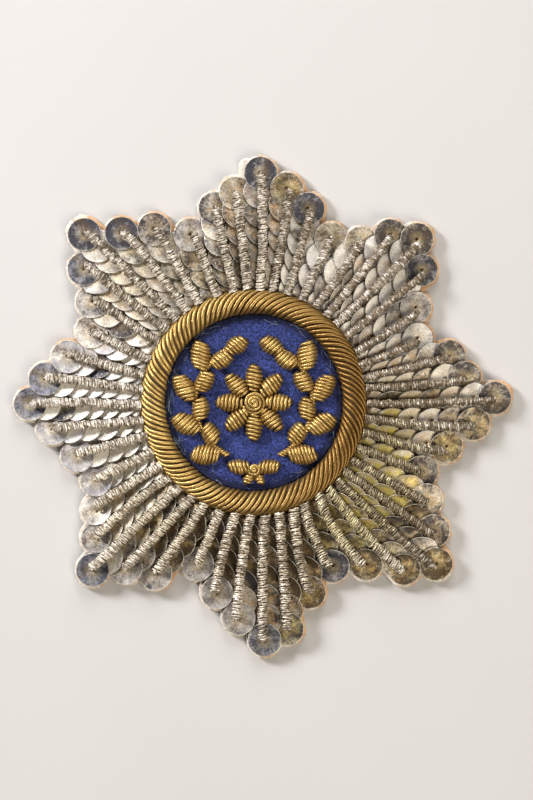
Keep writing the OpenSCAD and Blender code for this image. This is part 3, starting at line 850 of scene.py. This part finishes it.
def branch(side, materials):
    """One branch of the wreath: a stem with pairs of leaves and one at its end."""
    mirrored = side == "left"
    strands, pads, rng = Shape(), Shape(), np.random.default_rng(BRANCH_SEED + mirrored)
    step = (BRANCH_END - BRANCH_START) / LEAF_PAIRS
    add_stem(strands, rng, mirrored)
    leaves = [(BRANCH_START + (i + shift) * step, leaf)
              for i in range(LEAF_PAIRS) for shift, leaf in ((0, OUTER_LEAF), (INNER_LEAF_SHIFT, INNER_LEAF))]
    leaves.append((BRANCH_END, (*INNER_LEAF[:2], END_LEAF_LEAN)))
    for bearing, (length, width, lean) in leaves:
        slant = PAD_SLANT if lean > 0 else -PAD_SLANT
        add_pad(strands, pads, polar(BRANCH_R, bearing), bearing + 90 + lean,
                (length, width, ORNAMENT_H), rng, mirrored, slant)
    gold_pieces(f"branch_{side}", f"wreath_{side}", strands, pads, materials)


def rosette(materials):
    """The flower in the middle: petals round a coiled button."""
    strands, pads, rng = Shape(), Shape(), np.random.default_rng(ROSETTE_SEED)
    for i in range(PETALS):
        bearing = 90 + i * 360 / PETALS
        add_pad(strands, pads, polar(PETAL_START_R, bearing), bearing, (*PETAL, ORNAMENT_H), rng, slant=0.2)
    add_button(strands, pads, (0, 0), BUTTON_D, ORNAMENT_H + BUTTON_RISE, rng)
    gold_pieces("rosette", "rosette", strands, pads, materials)


def bow(materials):
    """The bow that ties the branches: two loops, two tails and a knot."""
    strands, pads, rng = Shape(), Shape(), np.random.default_rng(BOW_SEED)
    for mirrored in (False, True):
        for part, height in ((BOW_LOOP, ORNAMENT_H), (BOW_TAIL, BOW_TAIL_H)):
            add_pad(strands, pads, (0, BOW_Y), part[2], (*part[:2], height), rng, mirrored)
    add_button(strands, pads, (0, BOW_Y), BOW_KNOT_D, ORNAMENT_H, rng)
    gold_pieces("bow", "bow", strands, pads, materials)


FIBRE_POINTS, FIBRE_SIDES = 4, 3


def fibres(name, roots, aims, lengths, radius, curl, material, slot, rng, **values):
    """A piece of loose wool fibres: roots, rough directions and lengths, bent by curl."""
    shape, count = Shape(), len(roots)
    t = np.linspace(0, 1, FIBRE_POINTS)[None, :, None]
    sway = rng.normal(0, 1, (count, 1, 3)) * curl
    twist = rng.normal(0, 1, (count, 1, 3)) * curl * 0.6
    bent = unit(aims)[:, None] * t + sway * t ** 2 + twist * t ** 3
    paths = roots[:, None] + lengths[:, None, None] * bent
    paths[..., 2] = np.maximum(paths[..., 2], 2 * radius)
    out = np.broadcast_to(unit(rng.normal(0, 1, (count, 1, 3))), paths.shape)
    radii = radius * (1 - 0.5 * t[..., 0])
    tubes(shape, paths, out, radii, FIBRE_SIDES, tone=rng.uniform(0, 1, count), **values)
    return shape.piece(name, material, slot, [])


# The blue felt: radius, points round it, rings of points, and how rough its top is, how far it lies
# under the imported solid's and how much lower its edge is
FELT_R = RING_R - RING_HALF - 0.05
FELT_STEPS = 180
FELT_RINGS = np.append(np.linspace(0.25, FELT_R - 0.2, 52), [FELT_R - 0.05, FELT_R])
FELT_ROUGH, FELT_SINK, FELT_ROUNDED = 0.028, 0.03, 0.25
# Fibres of the nap, and stray ones: how many, radius, curl, and least and greatest length
NAP_FIBRES, NAP_R, NAP_CURL, NAP_LENGTH = 9000, 0.032, 0.35, (0.25, 0.6)
STRAY_FIBRES, STRAY_R, STRAY_CURL, STRAY_LENGTH = 90, 0.025, np.array([0.45, 0.45, 0.2]), (0.8, 2.2)
# How far the nap's roots lie under the felt's top
NAP_SINK = 0.05
# Half of the stray fibres lie in this range of bearings, and all between these distances from the middle
STRAY_BEARINGS, STRAY_REACH = (120, 215), (12.8, 14.0)


def felt_nap(material, rng):
    """Short fibres all over the blue felt, which lie rather flat."""
    r = FELT_R * np.sqrt(rng.uniform(0, 1, NAP_FIBRES))
    roots = raised(polar(r, rng.uniform(0, 360, NAP_FIBRES)), FELT_TOP - NAP_SINK)
    aims = rng.normal(0, 1, (NAP_FIBRES, 3)) * [1, 1, 0.25] + [0, 0, 0.3]
    return fibres("felt_nap", roots, aims, rng.uniform(*NAP_LENGTH, NAP_FIBRES), NAP_R, NAP_CURL,
                  material, "blue_felt", rng)


def stray_fibres(rng):
    """Longer fibres that lie along the blue felt's edge."""
    bearing = np.concatenate([rng.uniform(*span, STRAY_FIBRES // 2) for span in (STRAY_BEARINGS, (0, 360))])
    count = len(bearing)
    roots = raised(polar(rng.uniform(*STRAY_REACH, count), bearing), FELT_TOP)
    aims = raised(polar(rng.normal(0, 1, count), bearing + 90), rng.uniform(0, 0.3, count))
    return fibres("stray_fibres", roots, aims, rng.uniform(*STRAY_LENGTH, count), STRAY_R, STRAY_CURL,
                  pale_fibre(), "blue_felt", rng)


def felt(material, fibre_material):
    """The blue felt disc with its nap and stray fibres."""
    rng = np.random.default_rng(FELT_SEED)
    plan = polar(FELT_RINGS[:, None], np.arange(FELT_STEPS)[None] * 360 / FELT_STEPS)
    z = FELT_TOP + rng.normal(0, FELT_ROUGH, plan.shape[:2]) - FELT_SINK
    z[-1] -= FELT_ROUNDED
    shape = Shape()
    add_body(shape, np.concatenate([raised(plan, z), raised(plan[-1:], FELT_BOTTOM)]), tone=0.5)
    disc = shape.piece("blue_felt_disc", material, "blue_felt", ["felt"])
    nap = felt_nap(fibre_material, rng)
    stray = stray_fibres(rng)


# A round tab of backing that shows beside the top sequin: its middle and radius
TAB = ((-1.0, 37.7), 1.55)
# Places where the backing shows more: bearing, spread of bearing, how much further it reaches
LOBES = [(137.2, 2.2, 0.35), (132.5, 2.0, 0.25), (3.6, 2.6, 0.4), (44.0, 3.0, 0.2),
         (318.0, 3.0, 0.15), (228.0, 3.0, 0.12), (272.0, 2.5, 0.15), (96.5, 2.0, 0.25)]
BACKING_STEPS = 900
# The cut edge is orange-brown where it runs this way counter-clockwise, and cream on the far side: partly
# stain, partly painted shade on the edges that face away from the key light
STAIN_AND_SHADE_RUN = np.array([-0.35, 0.94])
# The tab at this bearing has no stain
CLEAN_BEARING, CLEAN_SPREAD = 93.5, 2.0
# Noises of the cut edge, as amount, scale and seed, and how much further in the edge lies
FRAYS, FRAY_SHRINK = ((0.25, 0.9, 3.0), (0.16, 3.1, 8.0)), 0.03
# Section of the backing: distance in from the edge and below the top, then, down the cut edge, distance
# in and height. Inside the inner radius each face is one flat cap
TOP_SECTION = ((0.0, 0.35), (0.08, 0.12), (0.3, 0.03), (0.8, 0.0), (2.0, 0.0))
WALL_SECTION, WALL_TOP_Z = ((0.02, 0.3), (0.15, 0.0)), 0.75
BACKING_INNER_R, BACKING_ROUGH, BACKING_SINK = 12.0, 0.03, 0.03
# Fibres along the cut edge, as for the blue felt
FUZZ_FIBRES, FUZZ_R, FUZZ_CURL, FUZZ_LENGTH = 1500, 0.024, 0.4, (0.15, 0.5)


def backing_reach(bearings):
    """Distance from the middle to the backing's cut edge at each bearing."""
    ray = polar(1.0, bearings)
    reach = np.full(len(bearings), RING_R + RING_HALF)
    circles = [(np.array(TAB[0]), TAB[1])]
    for row in ALL_ROWS:
        for x in np.linspace(0, row.length, 3 * row.steps + 1):
            circles.append((row.foot + x * row.out, SEQUIN_R + (BACKING_RIM if x == row.length else 0.05)))
    for centre, radius in circles:
        along = ray @ centre
        aside = centre @ centre - along ** 2
        hit = along + np.sqrt(np.maximum(radius ** 2 - aside, 0))
        reach = np.where((aside < radius ** 2) & (along > 0), np.maximum(reach, hit), reach)
    for bearing, spread, more in LOBES:
        off = (bearings - bearing + 180) % 360 - 180
        reach = reach + more * np.exp(-(off / spread) ** 2)
    return reach


def rough(values, scale, seed):
    """Smooth noise at places along a line."""
    return np.array([noise.noise(Vector((v * scale, seed, 0.0))) for v in values])


def edge_stain_and_shade(edge, bearings):
    """How orange-brown the cut edge is at each bearing: stain, and painted shade where the edge faces away
    from the key light.
    """
    outline = polar(edge, bearings)
    run = unit(np.roll(outline, -1, axis=0) - np.roll(outline, 1, axis=0))
    stain = 0.45 + 0.5 * (run @ STAIN_AND_SHADE_RUN) + 0.5 * rough(bearings, 0.25, 21.0)
    return stain - 1.5 * np.exp(-((bearings - CLEAN_BEARING) / CLEAN_SPREAD) ** 2)


def backing_fuzz(material, bearings, edge, stain, rng):
    """Loose fibres along the backing's cut edge."""
    at = rng.uniform(0, 360, FUZZ_FIBRES)
    r = np.interp(at, bearings, edge, period=360) - rng.uniform(0.0, 0.35, FUZZ_FIBRES)
    roots = raised(polar(r, at), rng.uniform(0.15, BACKING_TOP, FUZZ_FIBRES))
    aims = raised(polar(rng.uniform(0.1, 1, FUZZ_FIBRES), at), rng.normal(0.1, 0.3, FUZZ_FIBRES))
    aims[:, :2] += rng.normal(0, 0.7, (FUZZ_FIBRES, 2))
    return fibres("backing_fibres", roots, aims, rng.uniform(*FUZZ_LENGTH, FUZZ_FIBRES), FUZZ_R, FUZZ_CURL,
                  material, "backing_felt", rng, stain=np.interp(at, bearings, stain, period=360))


def backing(material):
    """The cream felt that carries everything, with its frayed cut edge."""
    rng = np.random.default_rng(BACKING_SEED)
    bearings = np.arange(BACKING_STEPS) * 360 / BACKING_STEPS
    edge = backing_reach(bearings)
    stain = edge_stain_and_shade(edge, bearings)
    edge = edge + sum(amount * rough(bearings, scale, seed) for amount, scale, seed in FRAYS) - FRAY_SHRINK
    inner = 0 * edge + BACKING_INNER_R
    top = [(edge - inset, BACKING_TOP - fall - BACKING_SINK + rng.normal(0, BACKING_ROUGH, BACKING_STEPS))
           for inset, fall in TOP_SECTION]
    wall = [(edge + 0.03 * rough(bearings, 9.0, 5.0), WALL_TOP_Z)]
    wall += [(edge - inset, height) for inset, height in WALL_SECTION]
    levels = [(inner, BACKING_TOP - 0.05), *top[::-1], *wall, (inner, 0.0)]
    points = np.stack([raised(polar(r, bearings), z) for r, z in levels])
    shape = Shape()
    add_body(shape, points, tone=0.5, stain=np.broadcast_to(stain, points.shape[:2]).ravel())
    made = shape.piece("felt_backing", material, "backing_felt", ["backing"])
    fuzz = backing_fuzz(material, bearings, edge, stain, rng)


class Finish:
    """Builds a material's nodes. Places are in metres, so a scale of 1000 has one cell a millimetre."""

    def __init__(self, name, roughness, metallic=0.0):
        self.material = bpy.data.materials.new(name)
        self.material.use_nodes = True
        self.tree = self.material.node_tree
        self.shader = self.tree.nodes["Principled BSDF"]
        self.shader.inputs["Roughness"].default_value = roughness
        self.shader.inputs["Metallic"].default_value = metallic
        self.place = self.node("ShaderNodeTexCoord").outputs["Object"]

    def node(self, kind, **settings):
        made = self.tree.nodes.new(kind)
        for name, value in settings.items():
            setattr(made, name, value)
        return made

    def set(self, node, name, value):
        """Links a socket to a node's input, or sets the input to a number or a colour."""
        if isinstance(value, bpy.types.NodeSocket):
            self.tree.links.new(value, node.inputs[name])
        else:
            node.inputs[name].default_value = (*value, 1.0) if isinstance(value, tuple) else value

    def value(self, name):
        """A number that the mesh holds for each point."""
        return self.node("ShaderNodeAttribute", attribute_name=name).outputs["Fac"]

    def parts(self, name):
        """The three parts of a vector that the mesh holds for each point."""
        made = self.node("ShaderNodeSeparateXYZ")
        self.set(made, 0, self.node("ShaderNodeAttribute", attribute_name=name).outputs["Vector"])
        return tuple(made.outputs)

    def noise(self, per_mm, detail=3.0, roughness=0.55, vector=None):
        made = self.node("ShaderNodeTexNoise")
        self.set(made, "Vector", self.place if vector is None else vector)
        self.set(made, "Scale", per_mm * (PER_MM if vector is None else 1.0))
        self.set(made, "Detail", detail)
        self.set(made, "Roughness", roughness)
        return made.outputs["Fac"]

    def math(self, operation, a, b=0.0, clamp=False):
        made = self.node("ShaderNodeMath", operation=operation, use_clamp=clamp)
        self.set(made, 0, a)
        self.set(made, 1, b)
        return made.outputs[0]

    def times(self, a, b, clamp=False):
        return self.math("MULTIPLY", a, b, clamp)

    def plus(self, a, b):
        return self.math("ADD", a, b)

    def range(self, value, low, high, to_low=0.0, to_high=1.0):
        made = self.node("ShaderNodeMapRange", clamp=True)
        for name, number in (("From Min", low), ("From Max", high), ("To Min", to_low), ("To Max", to_high)):
            self.set(made, name, number)
        self.set(made, "Value", value)
        return made.outputs[0]

    def mix(self, share, a, b, blend_type="MIX"):
        """Colour a with a share of colour b. A colour mix has its inputs at places 0, 6 and 7."""
        made = self.node("ShaderNodeMix", data_type="RGBA", blend_type=blend_type)
        for place, value in ((0, share), (6, a), (7, b)):
            self.set(made, place, value)
        return made.outputs[2]

    def colour(self, value):
        self.set(self.shader, "Base Color", value)

    def roughness(self, value):
        self.set(self.shader, "Roughness", value)

    def sheen(self, weight):
        self.set(self.shader, "Sheen Weight", weight)
        self.set(self.shader, "Sheen Roughness", 0.5)

    def bump(self, height, depth_mm, strength=1.0):
        made = self.node("ShaderNodeBump")
        self.set(made, "Height", height)
        self.set(made, "Distance", depth_mm * MM)
        self.set(made, "Strength", strength)
        self.set(self.shader, "Normal", made.outputs[0])


WHITE_SILVER, CREAM_SILVER, LILAC_SILVER = (0.97, 0.925, 0.83), (0.82, 0.71, 0.53), (0.42, 0.43, 0.53)
SLATE, UMBER = (0.055, 0.055, 0.072), (0.06, 0.04, 0.022)
BROWN, DARK_BROWN = (0.54, 0.32, 0.13), (0.10, 0.06, 0.028)
OLIVE, DARK_OLIVE = (0.72, 0.59, 0.13), (0.15, 0.11, 0.03)
# The speck colour is both the foil's dark specks and a painted shadow line along bright sequins' rims; the
# rim colour under it is a painted highlight along the rims
SIDE_BAND_BROWN, HOLE_DIRT, SPECK_AND_RIM_SHADOW = (0.13, 0.075, 0.035), (0.60, 0.45, 0.22), (0.06, 0.045, 0.03)
RIM_HIGHLIGHT = (0.95, 0.88, 0.72)
# Brown and olive stains of the foil: their clouds' cells in a millimetre, the cloud's values where a stain
# starts and is full, the most it reaches, its share at the rim, and its colours on light and dark foil
FOIL_STAINS = ((0.8, 0.40, 0.57, 1.2, 0.45, BROWN, DARK_BROWN),
               (0.7, 0.33, 0.55, 1.0, 0.35, OLIVE, DARK_OLIVE))
# How far the mottling, the streaks and the soft clouds darken the foil, and its shine lightens it
MOTTLE_DARK, STREAK_DARK, SOFT_DARK, SHINE_LIGHT = 1.6, 0.9, 1.7, 0.35


def foil_streaks(f, x, y, number, off_middle):
    """Streaks that run out from a sequin's hole, different on each sequin."""
    ray = f.node("ShaderNodeCombineXYZ")
    for axis, value in enumerate((f.times(f.math("ARCTAN2", y, x), 20.0), f.times(off_middle, 2.2), number)):
        f.set(ray, axis, value)
    return f.noise(1.0, 3.0, vector=ray.outputs[0])


def clean_foil(f, shine, lilac, off_middle):
    """Cream and white silver, with lilac clouds toward the rim."""
    cloud = f.noise(0.9, 4.0, 0.65)
    colour = f.mix(f.range(cloud, 0.40, 0.58), CREAM_SILVER, WHITE_SILVER)
    colour = f.mix(shine, colour, WHITE_SILVER)
    lilac = f.times(lilac, f.range(off_middle, 0.2, 0.8, 0.35, 1.0))
    return f.mix(f.times(lilac, f.range(cloud, 0.62, 0.42), clamp=True), colour, LILAC_SILVER)


def foil_darkness(f, dark, shine, mottle, streaks):
    """How dark the foil is, in mottles, streaks and soft clouds."""
    darkness = dark
    for cloud, amount in ((mottle, MOTTLE_DARK), (streaks, STREAK_DARK), (f.noise(0.5, 2.0, 0.5), SOFT_DARK)):
        darkness = f.plus(darkness, f.times(f.math("SUBTRACT", cloud, 0.5), amount))
    return f.math("SUBTRACT", darkness, f.times(shine, SHINE_LIGHT), clamp=True)


def hole_dirt_and_side_band(f, colour, y, off_middle, side_band, mottle):
    """The colour with dirt round the hole and a darker brown band beside the ridge on the clockwise side."""
    near_hole = f.times(f.range(off_middle, 0.55, 0.15), f.range(mottle, 0.35, 0.6))
    colour = f.mix(f.times(near_hole, 0.75), colour, HOLE_DIRT)
    beside = f.times(f.range(y, 0.05, -0.22), f.range(y, -0.75, -0.35))
    beside = f.times(f.times(beside, side_band), f.range(mottle, 0.38, 0.58, 0.2, 0.9))
    return f.mix(beside, colour, SIDE_BAND_BROWN)


def painted_rim_light_and_shadow(f, colour, shine, off_middle, mottle):
    """The colour with a painted highlight along the rim, or a painted dark shadow line along it where the
    foil itself is bright.
    """
    rim = f.times(f.range(off_middle, 0.95, 0.975), f.range(mottle, 0.3, 0.6, 0.7, 0.25))
    bright = f.range(shine, 0.1, 0.4)
    colour = f.mix(f.times(rim, f.math("SUBTRACT", 1.0, bright)), colour, RIM_HIGHLIGHT)
    return f.mix(f.times(f.range(off_middle, 0.93, 0.965, 0.0, 0.9), bright), colour, SPECK_AND_RIM_SHADOW)


def sequin_foil():
    """Old silver foil: cream and lilac metal, dark mottling, streaks, stains and fine specks."""
    f = Finish("sequin_foil", 0.5, metallic=0.6)
    (dark, brown, olive), (shine, lilac, side_band) = f.parts("tone"), f.parts("cast")
    x, y, number = f.parts("disc")
    off_middle = f.math("POWER", f.plus(f.times(x, x), f.times(y, y)), 0.5)
    streaks = foil_streaks(f, x, y, number, off_middle)
    mottle, grain = f.noise(1.8, 5.0, 0.7), f.noise(3.6, 3.0, 0.65)
    darkness = foil_darkness(f, dark, shine, mottle, streaks)
    colour = f.mix(darkness, clean_foil(f, shine, lilac, off_middle), f.mix(brown, SLATE, UMBER))
    for amount, (per_mm, start, full, most, at_rim, on_light, on_dark) in zip((brown, olive), FOIL_STAINS):
        stain = f.times(amount, f.range(f.noise(per_mm, 4.0, 0.65), start, full, 0.1, most), clamp=True)
        stain = f.times(stain, f.range(off_middle, 0.6, 1.0, 1.0, at_rim))
        colour = f.mix(stain, colour, f.mix(f.range(darkness, 0.5, 1.0), on_light, on_dark))
    colour = hole_dirt_and_side_band(f, colour, y, off_middle, side_band, mottle)
    grime = f.range(shine, 0.0, 1.0, 1.0, 0.35)
    colour = f.mix(grime, colour, f.range(grain, 0.34, 0.62, 1.0, 0.66), "MULTIPLY")
    colour = f.mix(f.range(f.noise(5.5, 2.0, 0.6), 0.60, 0.68, 0.0, 0.8), colour, SPECK_AND_RIM_SHADOW)
    f.colour(painted_rim_light_and_shadow(f, colour, shine, off_middle, mottle))
    f.roughness(f.range(mottle, 0.3, 0.7, 0.42, 0.64))
    f.set(f.shader, "Metallic", f.range(shine, 0.0, 1.0, 0.5, 0.15))
    f.bump(f.plus(f.times(streaks, 0.6), f.times(grain, 0.5)), 0.05, 0.7)
    return f.material


BRIGHT_WIRE, WORN_WIRE = (1.0, 0.955, 0.88), (0.50, 0.42, 0.30)
BROWN_WIRE, OLIVE_WIRE = (0.50, 0.37, 0.21), (0.62, 0.54, 0.20)
DULL_AND_SHADED_WIRE, WIRE_SPECK = (0.11, 0.08, 0.045), (0.24, 0.175, 0.11)
DARK_THREAD, LIGHT_THREAD = (0.20, 0.145, 0.09), (0.40, 0.31, 0.21)


def silver_wire():
    """Faceted silver wire with brown and olive tarnish in places, and painted shade that dulls and browns the
    coils' undersides and some points of the star.
    """
    f = Finish("silver_wire", 0.4, metallic=0.25)
    dull, brown, olive = f.parts("tone")
    worn = f.range(f.noise(0.6, 3.0, 0.6), 0.42, 0.62)
    fine = f.noise(4.6, 1.0, 0.5)
    colour = f.mix(f.times(worn, 0.3), BRIGHT_WIRE, WORN_WIRE)
    colour = f.mix(f.times(brown, 0.4, clamp=True), colour, BROWN_WIRE)
    colour = f.mix(f.times(olive, 0.7, clamp=True), colour, OLIVE_WIRE)
    colour = f.mix(dull, colour, DULL_AND_SHADED_WIRE)
    f.colour(f.mix(f.range(fine, 0.50, 0.60, 0.0, 0.7), colour, WIRE_SPECK))
    f.roughness(f.range(fine, 0.35, 0.6, 0.3, 0.5))
    f.bump(f.noise(6.0, 1.0), 0.035, 0.7)
    return f.material


def purl_thread():
    """Brown waxed thread inside the coils."""
    f = Finish("purl_thread", 0.85)
    f.colour(f.mix(f.noise(2.5, 2.0), DARK_THREAD, LIGHT_THREAD))
    f.bump(f.noise(6.0, 2.0), 0.05, 0.5)
    return f.material


LIGHT_GOLD, DEEP_GOLD, WARM_GOLD = (0.76, 0.555, 0.205), (0.50, 0.335, 0.11), (0.40, 0.23, 0.06)
TARNISH_AND_SHADE_GOLD, GOLD_SPECK = (0.19, 0.095, 0.02), (0.14, 0.07, 0.02)
# The padding's colours are painted shade for the gaps between the gold strands
PADDING_SHADE_DARK, PADDING_SHADE_LIGHT = (0.02, 0.011, 0.004), (0.055, 0.03, 0.01)
# Length of a turn of the smooth purl
GOLD_TURN = 0.13


def gold_wire():
    """Smooth gilt purl: fine turns across each strand, and warm tarnish, deeper where it is older, with
    painted shade darkening the ring's right side, away from the key light.
    """
    f = Finish("gold_wire", 0.3, metallic=0.75)
    patch = f.range(f.noise(0.3, 3.0, 0.6), 0.38, 0.64)
    colour = f.mix(f.value("tone"), LIGHT_GOLD, DEEP_GOLD)
    colour = f.mix(f.times(patch, 0.4), colour, WARM_GOLD)
    colour = f.mix(f.times(f.value("age"), 0.95), colour, TARNISH_AND_SHADE_GOLD)
    f.colour(f.mix(f.range(f.noise(3.0, 2.0), 0.56, 0.72, 0.0, 0.5), colour, GOLD_SPECK))
    f.roughness(f.range(f.noise(1.8, 3.0), 0.3, 0.7, 0.28, 0.4))
    turns = f.math("SINE", f.times(f.value("along"), 2 * math.pi / GOLD_TURN))
    f.bump(f.plus(turns, f.times(f.noise(3.0, 2.0), 0.3)), 0.013, 0.4)
    return f.material


def padding_painted_shade():
    """Thread padding under the gold strands, painted near-black as the shade between them."""
    f = Finish("padding_painted_shade", 0.8)
    f.colour(f.mix(f.noise(2.0, 3.0), PADDING_SHADE_DARK, PADDING_SHADE_LIGHT))
    f.bump(f.noise(5.0, 2.0), 0.08, 0.5)
    return f.material


DARK_WOOL, LIGHT_WOOL, CLOUDY_WOOL = (0.003, 0.005, 0.035), (0.055, 0.085, 0.38), (0.010, 0.02, 0.10)
DARK_NAP, LIGHT_NAP, CLOUDY_NAP = (0.010, 0.016, 0.085), (0.085, 0.135, 0.43), (0.02, 0.045, 0.16)
SHADED_NAP = (0.004, 0.005, 0.015)
BLUE_FIBRE, WHITE_FIBRE = (0.10, 0.18, 0.42), (0.50, 0.56, 0.60)
DARK_CREAM, LIGHT_CREAM = (0.62, 0.50, 0.36), (0.90, 0.86, 0.78)
ORANGE_STAIN_AND_SHADE, CREAM_SPECK = (0.58, 0.28, 0.08), (0.22, 0.11, 0.04)


def painted_ring_shade(f):
    """How far the blue felt is darkened: along its edge, where the ring keeps the light off."""
    reach = f.node("ShaderNodeVectorMath", operation="LENGTH")
    f.set(reach, 0, f.place)
    edge = f.plus(f.times(reach.outputs["Value"], PER_MM), f.noise(0.8, 3.0))
    return f.range(edge, FELT_R - 0.75, FELT_R + 0.1, 0.0, 0.9)


def blue_wool():
    """Blue felt: two tones at fibre scale, darker clouds, and painted shade along its edge by the ring."""
    f = Finish("blue_wool", 0.95)
    fine = f.noise(2.8, 3.0, 0.75)
    colour = f.mix(f.range(fine, 0.42, 0.62), DARK_WOOL, LIGHT_WOOL)
    colour = f.mix(f.range(f.noise(0.5, 3.0), 0.35, 0.7, 0.0, 0.55), colour, CLOUDY_WOOL)
    f.colour(f.mix(painted_ring_shade(f), colour, DARK_WOOL))
    f.bump(f.plus(fine, f.times(f.noise(14.0, 2.0), 0.5)), 0.12, 0.8)
    f.sheen(0.05)
    return f.material


def nap_fibre():
    """Blue wool fibres, each of its own tone, with painted shade near the ring."""
    f = Finish("blue_nap", 0.9)
    each = f.mix(f.value("tone"), DARK_NAP, LIGHT_NAP)
    each = f.mix(1.0, each, f.range(f.noise(2.6, 2.0, 0.7), 0.41, 0.59, 0.1, 2.2), "MULTIPLY")
    cloudy = f.mix(f.range(f.noise(0.12, 3.0), 0.4, 0.62, 0.0, 0.45), each, CLOUDY_NAP)
    f.colour(f.mix(painted_ring_shade(f), cloudy, SHADED_NAP))
    return f.material


def pale_fibre():
    """Loose fibres, from light blue to off-white."""
    f = Finish("pale_fibre", 0.9)
    f.colour(f.mix(f.value("tone"), BLUE_FIBRE, WHITE_FIBRE))
    return f.material


def cream_felt():
    """Cream felt, orange-brown along parts of its edge: stain, and painted shade where the edge faces away
    from the key light.
    """
    f = Finish("cream_felt", 0.95)
    fine = f.noise(4.0, 4.0, 0.7)
    colour = f.mix(f.range(fine, 0.3, 0.7), DARK_CREAM, LIGHT_CREAM)
    patch = f.plus(f.value("stain"), f.range(f.noise(0.5, 4.0, 0.65), 0.3, 0.7, -0.5, 0.5))
    colour = f.mix(f.range(patch, 0.3, 0.8, 0.0, 0.8), colour, ORANGE_STAIN_AND_SHADE)
    f.colour(f.mix(f.range(f.noise(2.2, 3.0, 0.6), 0.55, 0.7, 0.0, 0.5), colour, CREAM_SPECK))
    f.bump(f.plus(fine, f.times(f.noise(12.0, 2.0), 0.5)), 0.12, 0.8)
    f.sheen(0.3)
    return f.material


FLOOR_HALF = 3.0
# The floor lies this far under the badge's flat back, so that the two faces don't share a plane
FLOOR_BELOW = 0.00002
FLOOR_TONES = (0.47, 0.46, 0.445), (0.50, 0.49, 0.475)
# Lights that face the badge: name, place, size, power and colour
LIGHTS = (
    ("key_light", (-0.46, 0.30, 0.33), 0.16, 5.7, (0.98, 0.97, 1.0)),
    ("top_light", (0.08, 0.62, 0.42), 0.45, 4.3, (1.0, 1.0, 1.0)),
    ("right_light", (0.36, -0.40, 0.60), 0.5, 5.5, (1.0, 0.92, 0.80)),
)
# The world's colours from level to nearly overhead, each with the height of its direction
SKY = ((0.0, (0.75, 0.75, 0.76, 1)), (0.9, (0.16, 0.17, 0.19, 1)))
SKY_STRENGTH = 0.095


def floor():
    """A pale paper floor."""
    mesh = bpy.data.meshes.new("floor")
    corners = [(x * FLOOR_HALF, y * FLOOR_HALF, 0) for x, y in ((-1, -1), (1, -1), (1, 1), (-1, 1))]
    mesh.from_pydata(corners, [], [(0, 1, 2, 3)])
    f = Finish("floor_paper", 0.9)
    f.colour(f.mix(f.noise(0.02, 2.0), *FLOOR_TONES))
    mesh.materials.append(f.material)
    sheet = placed("floor", mesh)
    sheet.location.z = -FLOOR_BELOW


def soft_light(name, place, size, power, colour):
    """A square studio light that faces the badge."""
    data = bpy.data.lights.new(name, "AREA")
    data.shape, data.size, data.energy, data.color = "SQUARE", size, power, colour
    made = placed(name, data)
    made.location = place
    made.rotation_euler = (-Vector(place)).to_track_quat("-Z", "Y").to_euler()


def sky():
    """A plain world that is darker overhead."""
    world = bpy.data.worlds.new("studio")
    bpy.context.scene.world = world
    world.use_nodes = True
    tree = world.node_tree
    background = tree.nodes["Background"]
    parts = tree.nodes.new("ShaderNodeSeparateXYZ")
    tree.links.new(tree.nodes.new("ShaderNodeTexCoord").outputs["Generated"], parts.inputs[0])
    ramp = tree.nodes.new("ShaderNodeValToRGB")
    for element, (position, colour) in zip(ramp.color_ramp.elements, SKY):
        element.position, element.color = position, colour
    tree.links.new(parts.outputs[2], ramp.inputs[0])
    tree.links.new(ramp.outputs[0], background.inputs["Color"])
    background.inputs["Strength"].default_value = SKY_STRENGTH


# The camera: how many millimetres the picture's long side shows, lens and sensor, and where the photo's
# middle lies from the ring's
VIEW_MM, LENS, SENSOR = 128.0, 100.0, 36.0
VIEW_CENTRE = (2.0, 0.4)


def camera():
    """Looks straight down."""
    data = bpy.data.cameras.new("camera")
    data.lens, data.sensor_width, data.sensor_fit = LENS, SENSOR, "AUTO"
    data.clip_start = 0.01
    made = placed("camera", data)
    made.location = [place * MM for place in (*VIEW_CENTRE, VIEW_MM * LENS / SENSOR + AXIS_Z[0])]
    bpy.context.scene.camera = made


camera()
floor()
for light in LIGHTS:
    soft_light(*light)
sky()
bpy.context.scene.view_settings.view_transform = "Standard"

foil, wire, thread = sequin_foil(), silver_wire(), purl_thread()
for point in range(len(POINTS)):
    sequins(point, foil)
    purl(point, wire, thread)

gold = gold_wire(), padding_painted_shade()
ring(gold)
branch("left", gold)
branch("right", gold)
rosette(gold)
bow(gold)

backing(cream_felt())
felt(blue_wool(), nap_fibre())
